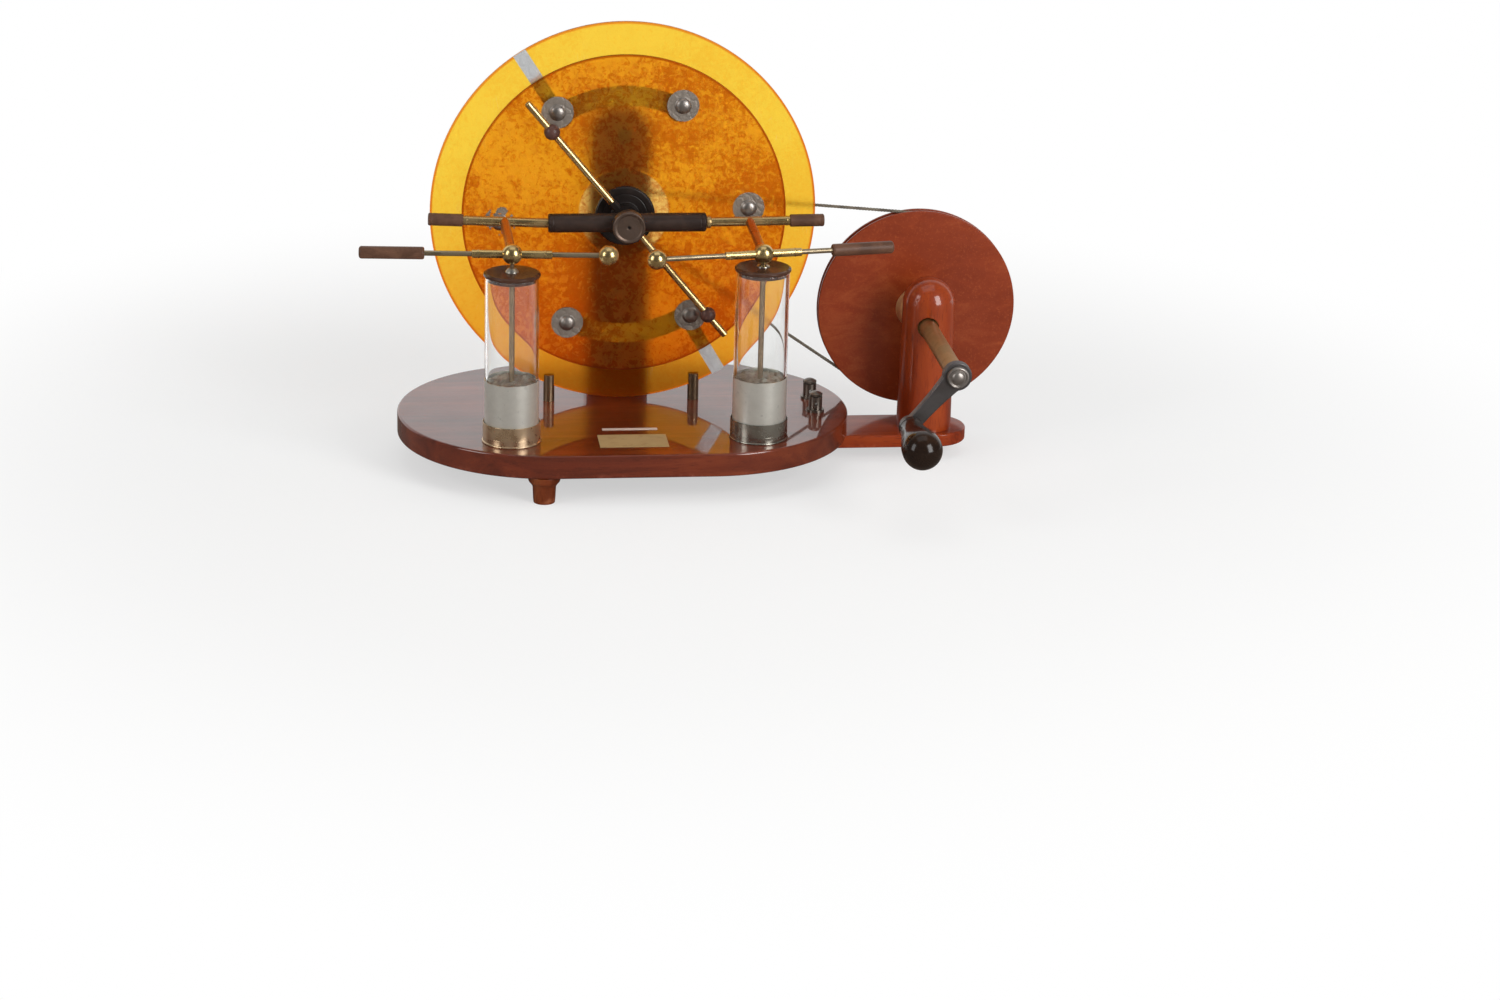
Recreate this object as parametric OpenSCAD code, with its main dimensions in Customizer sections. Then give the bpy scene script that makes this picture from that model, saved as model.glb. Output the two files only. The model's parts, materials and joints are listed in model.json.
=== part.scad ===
// Hand-cranked influence machine: a fixed plate, a belt-driven disc with
// foil carriers, collecting combs, a neutralising rod, two condenser jars
// with sliding discharge rods, and a wheel and crank on an outrigger plank.
// Millimetres, +Z up, the operator stands on the -Y side.

/* [Fixed plate and disc] */
// Diameter of the fixed plate
plate_d = 360; // [320:2:400]
// Thickness of the fixed plate
plate_t = 5; // [4:0.5:7]
// Diameter of the hole in the fixed plate
plate_hole_d = 84; // [74:2:100]
// Diameter of the turning disc
disc_d = 302; // [280:2:320]
// Thickness of the turning disc
disc_t = 4; // [3:0.5:6]
// Space between the disc and the fixed plate
plate_gap = 4; // [3:0.5:6]

/* [Carriers and inductors] */
// Diameter of the circle that the foil carriers sit on
carrier_ring_d = 232; // [220:2:240]
// Number of foil carriers
carrier_count = 6; // [4:2:8]
// Turn of the first carrier above the horizontal, in degrees
carrier_turn = 3; // [0:1:10]
// Diameter of a carrier's foil
carrier_foil_d = 30; // [22:1:34]
// Diameter of a carrier's stud
stud_d = 15.5; // [10:0.5:17]
// Height of a carrier's stud
stud_h = 4.5; // [3:0.5:5]
// Thickness of the tinfoil pieces
foil_t = 0.3; // [0.2:0.1:0.5]
// Width of an inductor's curved band
arc_w = 18.6; // [14:0.2:22]
// Angle that an inductor's band spans, in degrees
arc_span = 60; // [50:1:70]
// Distance of the upper band inside the carriers' circle
arc_inset_upper = 4.5; // [0:0.5:8]
// Distance of the lower band inside the carriers' circle
arc_inset_lower = 0; // [0:0.5:8]
// Lean of the lower inductor's strip, in degrees
strip_lean_lower = 2.3; // [0:0.1:5]
// Width of an inductor's radial strip
strip_w = 13; // [10:0.5:18]
// Diameter of the round pad at each end of a band
pad_d = 26; // [20:1:30]

/* [Disc hub and pulley] */
// Diameter of the hub flange in front of the disc
hub_d = 56; // [50:1:64]
// Thickness of the hub flange
hub_t = 4.5; // [3.5:0.5:6]
// Diameter of the hub's front boss
hub_boss_d = 26; // [22:1:30]
// Outer diameter of the hub's sleeve
sleeve_d = 18; // [16:1:22]
// Diameter of the nut behind the disc
hub_nut_d = 40; // [34:1:48]
// Thickness of the nut behind the disc
hub_nut_t = 3; // [2:0.5:3.5]
// Pitch diameter of the small pulley
pulley_pitch_d = 28; // [26:1:34]
// Width of the small pulley
pulley_w = 14; // [12:1:18]
// Distance of the belt behind the fixed plate's front face
belt_y = 30; // [26:1:34]
// Thickness of the round belt
belt_d = 3.2; // [2.4:0.2:4]

/* [Spindle and upright] */
// Diameter of the fixed spindle
spindle_d = 10; // [8:0.5:11]
// Diameter of the spindle's front end, inside the knob
spindle_tip_d = 7; // [5:0.5:8]
// Distance of the upright behind the fixed plate's front face
upright_y = 44; // [42:1:50]
// Thickness of the upright
upright_t = 34; // [28:1:40]
// Width of the upright
upright_w = 58.5; // [50:0.5:66]
// Height of the upright's round top above the spindle
upright_top = 92; // [80:1:100]
// Height of the plate's stay above the spindle
stay_h = 72; // [66:1:80]
// Diameter of the plate's stay
stay_d = 14; // [12:1:18]

/* [Base] */
// Width of the base board
base_w = 424; // [400:2:450]
// Depth of the base board
base_depth = 280; // [260:2:290]
// Thickness of the base board
base_t = 22; // [18:1:26]
// Space between the plate's rim and the base board
plate_rise = 3; // [2:0.5:6]
// Distance of the base board's middle in front of the plate's front face
base_front_shift = 23; // [15:1:30]
// Diameter of a peg that holds the plate's rim
peg_d = 10.5; // [9:0.5:14]
// Height of a peg above the base board
peg_h = 25.6; // [23:0.2:30]
// Distance of a peg from the middle
peg_x = 68.5; // [60:0.5:75]
// Height of the base board's feet
foot_h = 26; // [22:1:30]
// Diameter of a foot's top
foot_d = 30; // [26:1:34]
// Diameter of a foot's lower end
foot_tip_d = 19; // [15:1:22]
// Distance of the left feet from the middle
foot_x = 83; // [70:1:100]
// Shank diameter of the wood screws in the base
screw_d = 4.4; // [3.6:0.2:5]
// Length of the wood screws in the base
screw_l = 32; // [28:1:33]

/* [Outrigger plank and column] */
// Thickness of the plank
plank_t = 12.3; // [10:0.1:14]
// Width of the plank
plank_w = 64; // [58:1:70]
// Distance of the plank's middle in front of the plate's front face
plank_front_shift = 20; // [16:1:24]
// Distance of the plank's inner end from the middle
plank_start = 112; // [90:1:130]
// Diameter of the wheel's column at the top
column_d = 49; // [44:1:54]
// Diameter of the wheel's column at the foot
column_foot_d = 52; // [48:1:58]
// Height of the column's round top above the wheel's axis
column_top = 42.5; // [34:0.5:46]
// Distance of the column's middle outward of the wheel's axis
column_shift = 3.5; // [0:0.5:5]
// Outer diameter of the column's bushes
bush_d = 20; // [18:0.5:24]
// Distance of the front bush behind the column's skin
bush_sink = 6; // [4:0.5:8]
// Length of a bush
bush_l = 13; // [10:1:16]

/* [Drive wheel and crank] */
// Distance of the wheel's axis from the middle
wheel_x = 284.5; // [275:0.5:295]
// Distance of the wheel's axis below the spindle
wheel_drop = 102; // [90:1:105]
// Diameter of the drive wheel
wheel_d = 190; // [170:1:195]
// Pitch diameter of the drive wheel
wheel_pitch_d = 183; // [164:1:186]
// Thickness of the drive wheel
wheel_t = 12; // [10:1:16]
// Diameter of the wheel's brass boss
boss_d = 40; // [32:1:44]
// Diameter of the crank shaft
shaft_d = 17; // [12:0.5:18]
// Diameter of the crank shaft's ends
shaft_tip_d = 10; // [8:0.5:11]
// Distance of the crank arm in front of the plate's front face
crank_front = 187; // [180:1:210]
// Thickness of the crank arm
crank_t = 9; // [7:0.5:11]
// Length of the crank arm between its holes
crank_l = 62.5; // [56:0.5:66]
// Direction of the crank arm, in degrees
crank_turn = 229; // [180:1:270]
// Diameter of the crank arm's boss
crank_boss_d = 26.5; // [23:0.5:28]
// Diameter of the crank arm's eye
crank_eye_d = 18.5; // [14:0.5:20]
// Diameter of the nut on the crank
crank_nut_d = 20; // [17:0.5:22]
// Length of the handle
handle_l = 80; // [72:1:96]
// Greatest diameter of the handle
handle_d = 36; // [32:1:42]
// Diameter of the handle at its neck
handle_neck_d = 22.5; // [15:0.5:25]
// Diameter of the handle's pin
pin_d = 7; // [6:0.5:8]

/* [Combs and knob] */
// Diameter of the crossbar
bar_d = 17.5; // [16:0.5:20]
// Length of the crossbar
bar_l = 146; // [130:1:150]
// Diameter of a comb rod
comb_d = 8.8; // [6.4:0.2:9.4]
// Distance of a comb rod's bare end from the middle
comb_end = 151; // [146:1:156]
// Outward rise of the left comb rod, in degrees
comb_rise_left = 2.4; // [0:0.2:3]
// Outward rise of the right comb rod, in degrees
comb_rise_right = 0.6; // [0:0.2:3]
// Length of the sleeve on a comb rod's end
comb_sleeve_l = 32; // [26:1:38]
// Diameter of the sleeve on a comb rod's end
comb_sleeve_d = 11.6; // [10:0.2:13]
// Number of points on a comb
point_count = 9; // [5:1:11]
// Diameter of a comb's points
point_d = 1.4; // [1:0.2:2]
// Space between a comb's points and the carriers' studs
point_gap = 2.4; // [1.5:0.1:4]
// Diameter of the arm between a jar's ball and its comb
arm_d = 8.6; // [6:0.2:8.6]
// Distance of the left arm's upper end from the middle
arm_end_left = 113; // [104:0.5:118]
// Distance of the right arm's upper end from the middle
arm_end_right = 113.5; // [108:0.5:118]
// Diameter of the front knob
knob_d = 30.2; // [26:0.2:34]
// Thickness of the front knob
knob_t = 11.5; // [10:0.5:14]

/* [Neutralising rod] */
// Diameter of the neutralising rod
neutral_d = 6.8; // [5.4:0.2:7.4]
// Distance of the rod's upper end from the spindle
neutral_end_upper = 143; // [136:1:148]
// Distance of the rod's lower end from the spindle
neutral_end_lower = 147.5; // [140:0.5:152]
// Direction of the rod, in degrees
neutral_turn = 130; // [120:1:140]
// Diameter of the collar on the spindle
neutral_collar_d = 26; // [22:1:30]
// Thickness of the collar on the spindle
neutral_collar_t = 7.9; // [7.6:0.1:9]
// Diameter of a brush ball
brush_ball_d = 14.8; // [13:0.2:16]
// Distance of the upper brush ball from the spindle
brush_upper = 107.5; // [102:0.5:112]
// Distance of the lower brush ball from the spindle
brush_lower = 121.5; // [118:0.5:126]

/* [Condenser jars] */
// Distance of the left jar from the middle
jar_left = 110.8; // [108:0.2:116]
// Distance of the right jar from the middle
jar_right = 116.6; // [110:0.2:118]
// Distance of the jars in front of the plate's front face
jar_front = 114; // [108:1:118]
// Outer diameter of a jar's glass
glass_d = 49; // [44:0.5:52]
// Thickness of a jar's glass
glass_t = 2.2; // [1.6:0.2:3]
// Height of the left jar's glass
glass_h_left = 153.6; // [140:0.2:160]
// Height of the right jar's glass
glass_h_right = 156.8; // [140:0.2:160]
// Height of a jar's tinfoil above the cup's floor
coat_h = 57; // [45:1:70]
// Height of a jar's metal cup
cup_h = 19; // [15:1:24]
// Thickness of a jar's metal cup
cup_t = 0.6; // [0.5:0.1:1.2]
// Thickness of the cup's floor
cup_floor = 2; // [1.5:0.5:3]
// Diameter of a jar's lid
lid_d = 51.5; // [50:0.5:56]
// Thickness of a jar's lid
lid_t = 3.6; // [3:0.2:5]
// Diameter of the rod inside a jar
jar_rod_d = 5; // [4:0.5:6]
// Diameter of the stem above a jar's lid
stem_d = 3.6; // [3:0.2:4.4]
// Height of the cone nut on the left jar's lid
lid_nut_h_left = 3.8; // [2:0.2:5]
// Height of the cone nut on the right jar's lid
lid_nut_h_right = 2; // [1.6:0.2:3]
// Diameter of the cone nut on a jar's lid
lid_nut_d = 12; // [9:0.5:13]
// Diameter of the bolt under a jar
jar_bolt_d = 6; // [5:0.5:8]

/* [Discharge rods] */
// Diameter of the ball on a jar
ball_d = 18.4; // [16:0.2:20]
// Height of the left ball's middle above its lid
ball_rise_left = 16.6; // [14:0.2:20]
// Height of the right ball's middle above its lid
ball_rise_right = 11.8; // [11.6:0.2:16]
// Outer diameter of the tube through a ball
tube_d = 7.5; // [6.8:0.1:8.4]
// Length of the tube through a ball
tube_l = 72; // [64:1:78]
// Diameter of a discharge rod
rod_d = 4.8; // [4:0.2:5.4]
// Distance between a rod's ball and its handle's outer end
rod_l = 223.4; // [214:0.2:234]
// Distance of the left rod's ball from its jar
rod_in_left = 86.4; // [80:0.2:92]
// Distance of the right rod's ball from its jar
rod_in_right = 99.8; // [94:0.2:106]
// Forward turn of the left rod's inner end, in degrees
swing_left = 4.6; // [0:0.2:10]
// Forward turn of the right rod's inner end, in degrees
swing_right = 9.2; // [0:0.2:12]
// Diameter of the ball on a rod's inner end
spark_ball_d = 18.4; // [16:0.2:20]
// Diameter of a discharge handle
grip_d = 11.4; // [10:0.2:13]
// Length of a discharge handle
grip_l = 58.5; // [50:0.5:62]

/* [Terminals and plates] */
// Distance of the terminals in from the base's right end
terminal_inset = 32; // [28:1:40]
// Distance of the front terminal in front of the plate's front face
terminal_front = 41; // [38:1:46]
// Distance between the two terminals
terminal_pitch = 40; // [34:1:44]
// Diameter of a terminal's post
terminal_d = 12.6; // [11:0.2:14]
// Height of a terminal's post
terminal_h = 15; // [14:0.5:18]
// Diameter of a terminal's wire hole
wire_hole_d = 3; // [2:0.2:4]
// Width of the blank name plate
name_plate_w = 63; // [50:1:70]
// Depth of the blank name plate
name_plate_depth = 35; // [28:1:40]
// Distance of the name plate's middle in front of the plate's front face
name_plate_front = 122; // [116:1:130]
// Width of the blank paper strip
strip_plate_w = 51; // [40:1:60]
// Depth of the blank paper strip
strip_plate_depth = 4.5; // [3:0.5:8]
// Distance of the paper strip's middle in front of the plate's front face
strip_plate_front = 88; // [80:1:95]
// Thickness of the name plate and the paper strip
label_t = 0.5; // [0.3:0.1:1]

/* [Hidden] */
$fn = 72;
// Radial clearance of a running fit, and of a pin in its seat
run_fit = 0.05;
// Space between moving pieces that pass each other
free = 0.35;
// Overlap of a cut past a face
cut = 1;

// Stack along Y, measured from the fixed plate's front face
disc_back = -plate_gap;
disc_front = disc_back - disc_t;
stud_top = disc_front - foil_t - stud_h;
brush_room = 2;
neutral_y = stud_top - brush_room - brush_ball_d / 2;
collar_front = neutral_y - neutral_collar_t / 2 + free;
collar_back = collar_front + neutral_collar_t;
hub_front = disc_front - hub_t;
bar_y = collar_front - free - bar_d / 2;
knob_back = bar_y - bar_d / 2 - run_fit;
knob_front = knob_back - knob_t;
sleeve_back = belt_y + pulley_w / 2;
upright_back = upright_y + upright_t;
knob_wall = 4;
spindle_tip = knob_front + knob_wall;
stay_pin_r = stay_d / 3;

// Heights, measured from the spindle's axis
plate_r = plate_d / 2;
base_top = -plate_r - plate_rise;
base_bottom = base_top - base_t;
plank_bottom = base_bottom - plank_t;
ground = base_bottom - foot_h;
glass_bottom = base_top + cup_floor;
stem_room = 1.2;
fill_top = glass_bottom + coat_h;

// Base board and plank
base_end_r = base_depth / 2;
base_end_x = base_w / 2 - base_end_r;
base_y = -base_front_shift;
base_back = base_y + base_end_r;
plank_y = -plank_front_shift;
column_x = wheel_x + column_shift;
plank_end_shift = 8;
plank_end_x = column_x + plank_end_shift;
foot_y_front = base_y - base_end_r + foot_d / 2;
foot_y_back = base_back - foot_d / 2;
peg_pin_r = peg_d / 3;
peg_pin_l = peg_h / 2;
screw_head_d = 2 * screw_d;
screw_head_t = 3;
plank_screw_inset = 16;
plank_screw_pitch = 40;
screw_y_upright = upright_y + upright_t / 2;
// Each wood screw: its place and the face that its head is let into
SCREWS = [
    [-upright_w / 4, screw_y_upright, base_bottom],
    [upright_w / 4, screw_y_upright, base_bottom],
    [plank_start + plank_screw_inset, plank_y, plank_bottom],
    [plank_start + plank_screw_inset + plank_screw_pitch, plank_y, plank_bottom],
    [column_x, plank_y, plank_bottom],
];

// Wheel, belt and crank
wheel_z = -wheel_drop;
wheel_r = wheel_d / 2;
wheel_front = belt_y - wheel_t / 2;
wheel_back = belt_y + wheel_t / 2;
belt_r = belt_d / 2;
belt_room = 0.4;
belt_sides = 10;
belt_steps = 30;
pulley_pitch_r = pulley_pitch_d / 2;
pulley_r = pulley_pitch_r + belt_d;
wheel_pitch_r = wheel_pitch_d / 2;
axis_l = norm([wheel_x, wheel_z]);
axis_turn = atan2(wheel_z, wheel_x);
belt_lean = asin((wheel_pitch_r - pulley_pitch_r) / axis_l);
belt_upper = axis_turn + 90 + belt_lean;
belt_lower = axis_turn - 90 - belt_lean;
column_r = column_d / 2;
column_z = wheel_z + column_top - column_r;
column_skin = sqrt(column_r * column_r - column_shift * column_shift);
column_front = plank_y - column_skin;
column_back = plank_y + column_skin;
column_lean = (column_foot_d / 2 - column_r) / (column_z - base_bottom);
column_wide_r = column_r + column_lean * (column_z - wheel_z + boss_d / 2);
boss_front = plank_y + column_wide_r + free;
wheel_nut_t = 5;
wheel_nut_r = bush_d / 2 + 2;
crank_back = -crank_front;
crank_face = crank_back - crank_t;
crank_nut_t = 4;
grip_room = 1;
handle_back = crank_face - grip_room;
handle_front = handle_back - handle_l;
handle_x = wheel_x + crank_l * cos(crank_turn);
handle_z = wheel_z + crank_l * sin(crank_turn);
pin_l = handle_l - handle_d * 0.65;

// Jars and rods
cup_r = glass_d / 2 + 2 * run_fit + foil_t + run_fit;
jar_y = -jar_front;
function jar_x(side) = side < 0 ? -jar_left : jar_right;
function glass_h(side) = side < 0 ? glass_h_left : glass_h_right;
function lid_bottom(side) = glass_bottom + glass_h(side);
function lid_top(side) = lid_bottom(side) + lid_t;
function lid_nut_h(side) = side < 0 ? lid_nut_h_left : lid_nut_h_right;
function nut_top(side) = lid_top(side) + lid_nut_h(side);
function ball_z(side) = lid_top(side) + (side < 0 ? ball_rise_left : ball_rise_right);
function stem_top(side) = ball_z(side) - rod_d / 2 - stem_room;
function swing(side) = side < 0 ? swing_left : swing_right;
function rod_in(side) = side < 0 ? rod_in_left : rod_in_right;
function comb_rise(side) = side < 0 ? comb_rise_left : comb_rise_right;
function arm_end(side) = side < 0 ? arm_end_left : arm_end_right;
function comb_z(side) = (arm_end(side) - bar_l / 2) * tan(comb_rise(side));
comb_seat = 20;
sleeve_seat = comb_sleeve_l * 0.6;
point_tip = stud_top - point_gap;
tube_r = tube_d / 2;
rod_out_left = rod_l - rod_in_left;
rod_sink = 20;
grip_seat = 14;
ball_seat = 6;

// Neutralising rod: its sockets on the collar and its brushes
socket_start = 8;
socket_end = 21;
socket_wall = 0.8;
brush_r = 2;
brush_seat = 3;

// Terminals
terminal_x = base_w / 2 - terminal_inset;
terminal_flange_h = 2.5;
terminal_flange = 2;
terminal_pin_r = terminal_d / 4;
wire_hole_h = 8.5;
thumb_d = 4;
thumb_room = 1.3;

// Origin: the middle of the bounding box, on the ground
box_left = -jar_left - rod_out_left * cos(swing_left) - grip_d / 2 * sin(swing_left);
box_right = wheel_x + wheel_r;
box_front = handle_front;
origin_x = (box_left + box_right) / 2;
origin_y = (box_front + base_back) / 2;
origin_z = ground;

wood = "#7a2d16";
wood_light = "#a5451d";
amber = "#e8a826";
amber_deep = "#d07a18";
brass = "#c8a95e";
ebonite = "#3a2c28";
steel = "#4b4f50";
nickel = "#b9b9b2";
foil = "#b4b4ac";
glass = "#dfe6e2";
paper = "#d8c79a";
paper_pale = "#e6ddd6";
cord = "#6b5a45";

// Moves a piece from the spindle's frame to the part's origin
module place() {
    translate([-origin_x, -origin_y, -origin_z]) children();
}

// Cylinder along +Y from y0 to y1
module rod_y(r, y0, y1) {
    translate([0, y0, 0]) rotate([-90, 0, 0]) cylinder(r = r, h = y1 - y0);
}

// Solid of revolution about Y: points are [radius, y]
module spun_y(points) {
    rotate([-90, 0, 0]) rotate_extrude() polygon(points);
}

// Cylinder between two points
module rod_between(p, q, r) {
    d = q - p;
    translate(p) rotate([0, acos(d.z / norm(d)), atan2(d.y, d.x)]) cylinder(r = r, h = norm(d));
}

// Cap of a ball on the plane z = 0
module dome(r, h) {
    ball_r = (r * r + h * h) / (2 * h);
    intersection() {
        translate([0, 0, h - ball_r]) sphere(r = ball_r);
        cylinder(r = r, h = h + cut);
    }
}

// Frame of a jar: X points outward, Z up
module at_jar(side) {
    translate([jar_x(side), jar_y, 0]) mirror([side < 0 ? 1 : 0, 0, 0]) children();
}

// Frame of a discharge rod: X points outward along the rod
module at_rod(side) {
    at_jar(side) translate([0, 0, ball_z(side)]) rotate([0, 0, swing(side)]) children();
}

// Frame of a comb rod: X points outward along the rod from the crossbar's end
module at_comb(side) {
    mirror([side < 0 ? 1 : 0, 0, 0])
        translate([bar_l / 2, bar_y, 0])
            rotate([0, -comb_rise(side), 0]) children();
}

// Frame of the neutralising rod: X points along the rod's upper half
module at_neutral() {
    translate([0, neutral_y, 0]) rotate([0, -neutral_turn, 0]) children();
}

// Frame of the wheel's axis
module at_wheel() {
    translate([wheel_x, 0, wheel_z]) children();
}

// Frame of the crank's handle
module at_handle() {
    translate([handle_x, 0, handle_z]) children();
}

// Repeats a piece at every carrier
module at_carriers() {
    for (i = [0 : carrier_count - 1])
        rotate([0, -carrier_turn - i * 360 / carrier_count, 0])
            translate([carrier_ring_d / 2, 0, 0]) children();
}

// Repeats a piece at both terminals
module at_terminal(back) {
    translate([terminal_x, -terminal_front + back * terminal_pitch, base_top]) children();
}

// Wood screw with its head at z = 0 and its tip upward, grown for a hole
module wood_screw(grow) {
    cylinder(r = screw_head_d / 2 + grow, h = screw_head_t);
    cylinder(r = screw_d / 2 + grow, h = screw_l);
}

// All the wood screws, or the holes for them
module screw_set(grow) {
    for (s = SCREWS) translate(s) wood_screw(grow);
}

module base_board() {
    place() color(wood) difference() {
        union() {
            for (x = [-base_end_x, base_end_x])
                translate([x, base_y, base_bottom]) cylinder(r = base_end_r, h = base_t);
            translate([-base_end_x, base_y - base_end_r, base_bottom])
                cube([2 * base_end_x, base_depth, base_t]);
        }
        screw_set(run_fit);
        for (side = [-1, 1]) {
            translate([jar_x(side), jar_y, base_bottom - cut])
                cylinder(r = jar_bolt_d / 2 + run_fit, h = base_t + 2 * cut);
            translate([side * peg_x, plate_t / 2, base_top - peg_pin_l - run_fit])
                cylinder(r = peg_pin_r + run_fit, h = peg_h);
        }
        for (back = [0, 1])
            at_terminal(back) translate([0, 0, -terminal_h])
                cylinder(r = terminal_pin_r + run_fit, h = terminal_h + cut);
    }
}

module crank_plank() {
    place() color(wood_light) difference() {
        union() {
            translate([plank_start, plank_y - plank_w / 2, plank_bottom])
                cube([plank_end_x - plank_start, plank_w, plank_t]);
            translate([plank_end_x, plank_y, plank_bottom]) cylinder(r = plank_w / 2, h = plank_t);
        }
        screw_set(run_fit);
    }
}

// Turned foot that hangs from z = 0
module turned_foot(h) {
    lip = h * 0.2;
    neck_r = foot_d * 0.36;
    mirror([0, 0, 1]) rotate_extrude() polygon([
        [0, 0], [foot_d / 2, 0], [foot_d / 2, lip], [neck_r, lip * 1.6],
        [foot_tip_d / 2 + 0.8, h * 0.55], [foot_tip_d / 2, h], [0, h],
    ]);
}

module feet() {
    place() color(wood_light) {
        for (y = [foot_y_front, foot_y_back]) translate([-foot_x, y, base_bottom]) turned_foot(foot_h);
        translate([plank_end_x, plank_y, plank_bottom]) turned_foot(foot_h - plank_t);
    }
}

module base_screws() {
    place() color(steel) screw_set(0);
}

module rear_upright() {
    round_r = upright_w / 2;
    place() color(wood) difference() {
        union() {
            translate([-round_r, upright_y, base_top])
                cube([upright_w, upright_t, upright_top - round_r - base_top]);
            translate([0, 0, upright_top - round_r]) rod_y(round_r, upright_y, upright_back);
        }
        rod_y(spindle_d / 2 + run_fit, upright_y - cut, upright_back + cut);
        translate([0, 0, stay_h]) rod_y(stay_pin_r + run_fit, upright_y - cut, upright_y + stay_d);
        screw_set(run_fit);
    }
}

module spindle() {
    place() color(steel) {
        rod_y(spindle_d / 2, knob_back, upright_back);
        rod_y(spindle_tip_d / 2, spindle_tip, knob_back);
        rod_y(sleeve_d / 2, sleeve_back + free, upright_y);
    }
}

module plate_pegs() {
    place() color(brass) difference() {
        for (side = [-1, 1]) translate([side * peg_x, plate_t / 2, base_top]) {
            cylinder(r = peg_d / 2, h = peg_h);
            translate([0, 0, -peg_pin_l]) cylinder(r = peg_pin_r, h = peg_pin_l);
        }
        rod_y(plate_r + 2 * run_fit, -2 * run_fit, plate_t + 2 * run_fit);
    }
}

module fixed_plate() {
    place() color(amber, 0.8) difference() {
        rod_y(plate_r, 0, plate_t);
        rod_y(plate_hole_d / 2, -cut, plate_t + cut);
    }
}

// Sector of a ring in the plate's plane, middle up
module band(r0, r1, span, y0, y1) {
    rotate([-90, 0, 0]) translate([0, 0, y0]) rotate([0, 0, -90 - span / 2])
        rotate_extrude(angle = span) translate([r0, 0]) square([r1 - r0, y1 - y0]);
}

// One inductor: a curved band, its pads and the strip that runs to the rim
module inductor(inset, lean) {
    ring_r = carrier_ring_d / 2 - inset;
    band(ring_r - arc_w / 2, ring_r + arc_w / 2, arc_span, -foil_t, 0);
    for (turn = [-arc_span / 2, arc_span / 2])
        rotate([0, turn, 0]) translate([0, 0, ring_r]) rod_y(pad_d / 2, -foil_t, 0);
    rotate([0, lean - arc_span / 2, 0]) intersection() {
        translate([-strip_w / 2, -foil_t, ring_r]) cube([strip_w, foil_t, plate_r - ring_r]);
        rod_y(plate_r, -foil_t - cut, cut);
    }
}

module inductors() {
    place() color(foil) rotate([0, -carrier_turn, 0]) {
        inductor(arc_inset_upper, 0);
        rotate([0, 180, 0]) inductor(arc_inset_lower, strip_lean_lower);
    }
}

module plate_stay() {
    place() color(ebonite) translate([0, 0, stay_h]) {
        rod_y(stay_d / 2, plate_t, upright_y);
        rod_y(stay_pin_r, upright_y, upright_y + stay_d - cut);
    }
}

module crossbar() {
    chamfer = 1;
    bar_r = bar_d / 2;
    half = bar_l / 2;
    place() color(ebonite) difference() {
        translate([0, bar_y, 0]) rotate([0, 90, 0]) rotate_extrude() polygon([
            [0, -half], [bar_r - chamfer, -half], [bar_r, chamfer - half],
            [bar_r, half - chamfer], [bar_r - chamfer, half], [0, half],
        ]);
        rod_y(spindle_d / 2 + run_fit, knob_back - cut, collar_front);
        for (side = [-1, 1]) at_comb(side)
            translate([-comb_seat, 0, 0]) rotate([0, 90, 0])
                cylinder(r = comb_d / 2 + run_fit, h = comb_seat + 2 * cut);
    }
}

// Comb rod with its ferrule and its row of points towards the disc
module comb_rod(side) {
    bare = comb_end - bar_l / 2;
    point_pitch = carrier_foil_d / (point_count - 1);
    ferrule_l = 4;
    ferrule_wall = 1.6;
    mid = carrier_ring_d / 2 - bar_l / 2;
    place() color(brass) at_comb(side) {
        translate([-comb_seat + cut, 0, 0]) rotate([0, 90, 0])
            cylinder(r = comb_d / 2, h = comb_seat - cut + bare + sleeve_seat);
        if (side > 0)
            translate([run_fit + cut / 2, 0, 0]) rotate([0, 90, 0])
                cylinder(r = comb_d / 2 + ferrule_wall, h = ferrule_l);
        for (i = [0 : point_count - 1])
            translate([mid + (i - (point_count - 1) / 2) * point_pitch, 0, 0])
                rod_y(point_d / 2, 0, point_tip - bar_y);
    }
}

module comb_rod_left() {
    comb_rod(-1);
}

module comb_rod_right() {
    comb_rod(1);
}

module comb_sleeves() {
    round_l = 1.2;
    outer = comb_sleeve_d / 2;
    place() color(ebonite) for (side = [-1, 1]) at_comb(side)
        translate([comb_end - bar_l / 2, 0, 0]) rotate([0, 90, 0]) difference() {
            rotate_extrude() polygon([
                [0, 0], [outer - round_l, 0], [outer, round_l], [outer, comb_sleeve_l - round_l],
                [outer - round_l, comb_sleeve_l], [0, comb_sleeve_l],
            ]);
            translate([0, 0, -cut]) cylinder(r = comb_d / 2 + run_fit, h = sleeve_seat + 2 * cut);
        }
}

module comb_arms() {
    place() color(brass) for (side = [-1, 1]) difference() {
        rod_between(
            [jar_x(side), jar_y, ball_z(side)], [side * arm_end(side), bar_y, comb_z(side)], arm_d / 2
        );
        translate([jar_x(side), jar_y, ball_z(side)]) sphere(r = ball_d / 2 + free);
        at_comb(side) rotate([0, 90, 0]) cylinder(r = comb_d / 2 + run_fit, h = comb_end);
    }
}

module end_knob() {
    rim = 1.6;
    dish = 1;
    knob_r = knob_d / 2;
    dimple_r = 1.6;
    place() color(ebonite) difference() {
        spun_y([
            [0, knob_front + dish], [knob_r - 2 * rim, knob_front + dish], [knob_r - 1.5 * rim, knob_front],
            [knob_r - rim / 2, knob_front], [knob_r, knob_front + rim / 2],
            [knob_r, knob_back - rim / 2], [knob_r - rim / 2, knob_back], [0, knob_back],
        ]);
        rod_y(spindle_tip_d / 2 + run_fit, spindle_tip - run_fit, knob_back + cut);
        rod_y(dimple_r, knob_front - cut, spindle_tip);
    }
}

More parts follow.
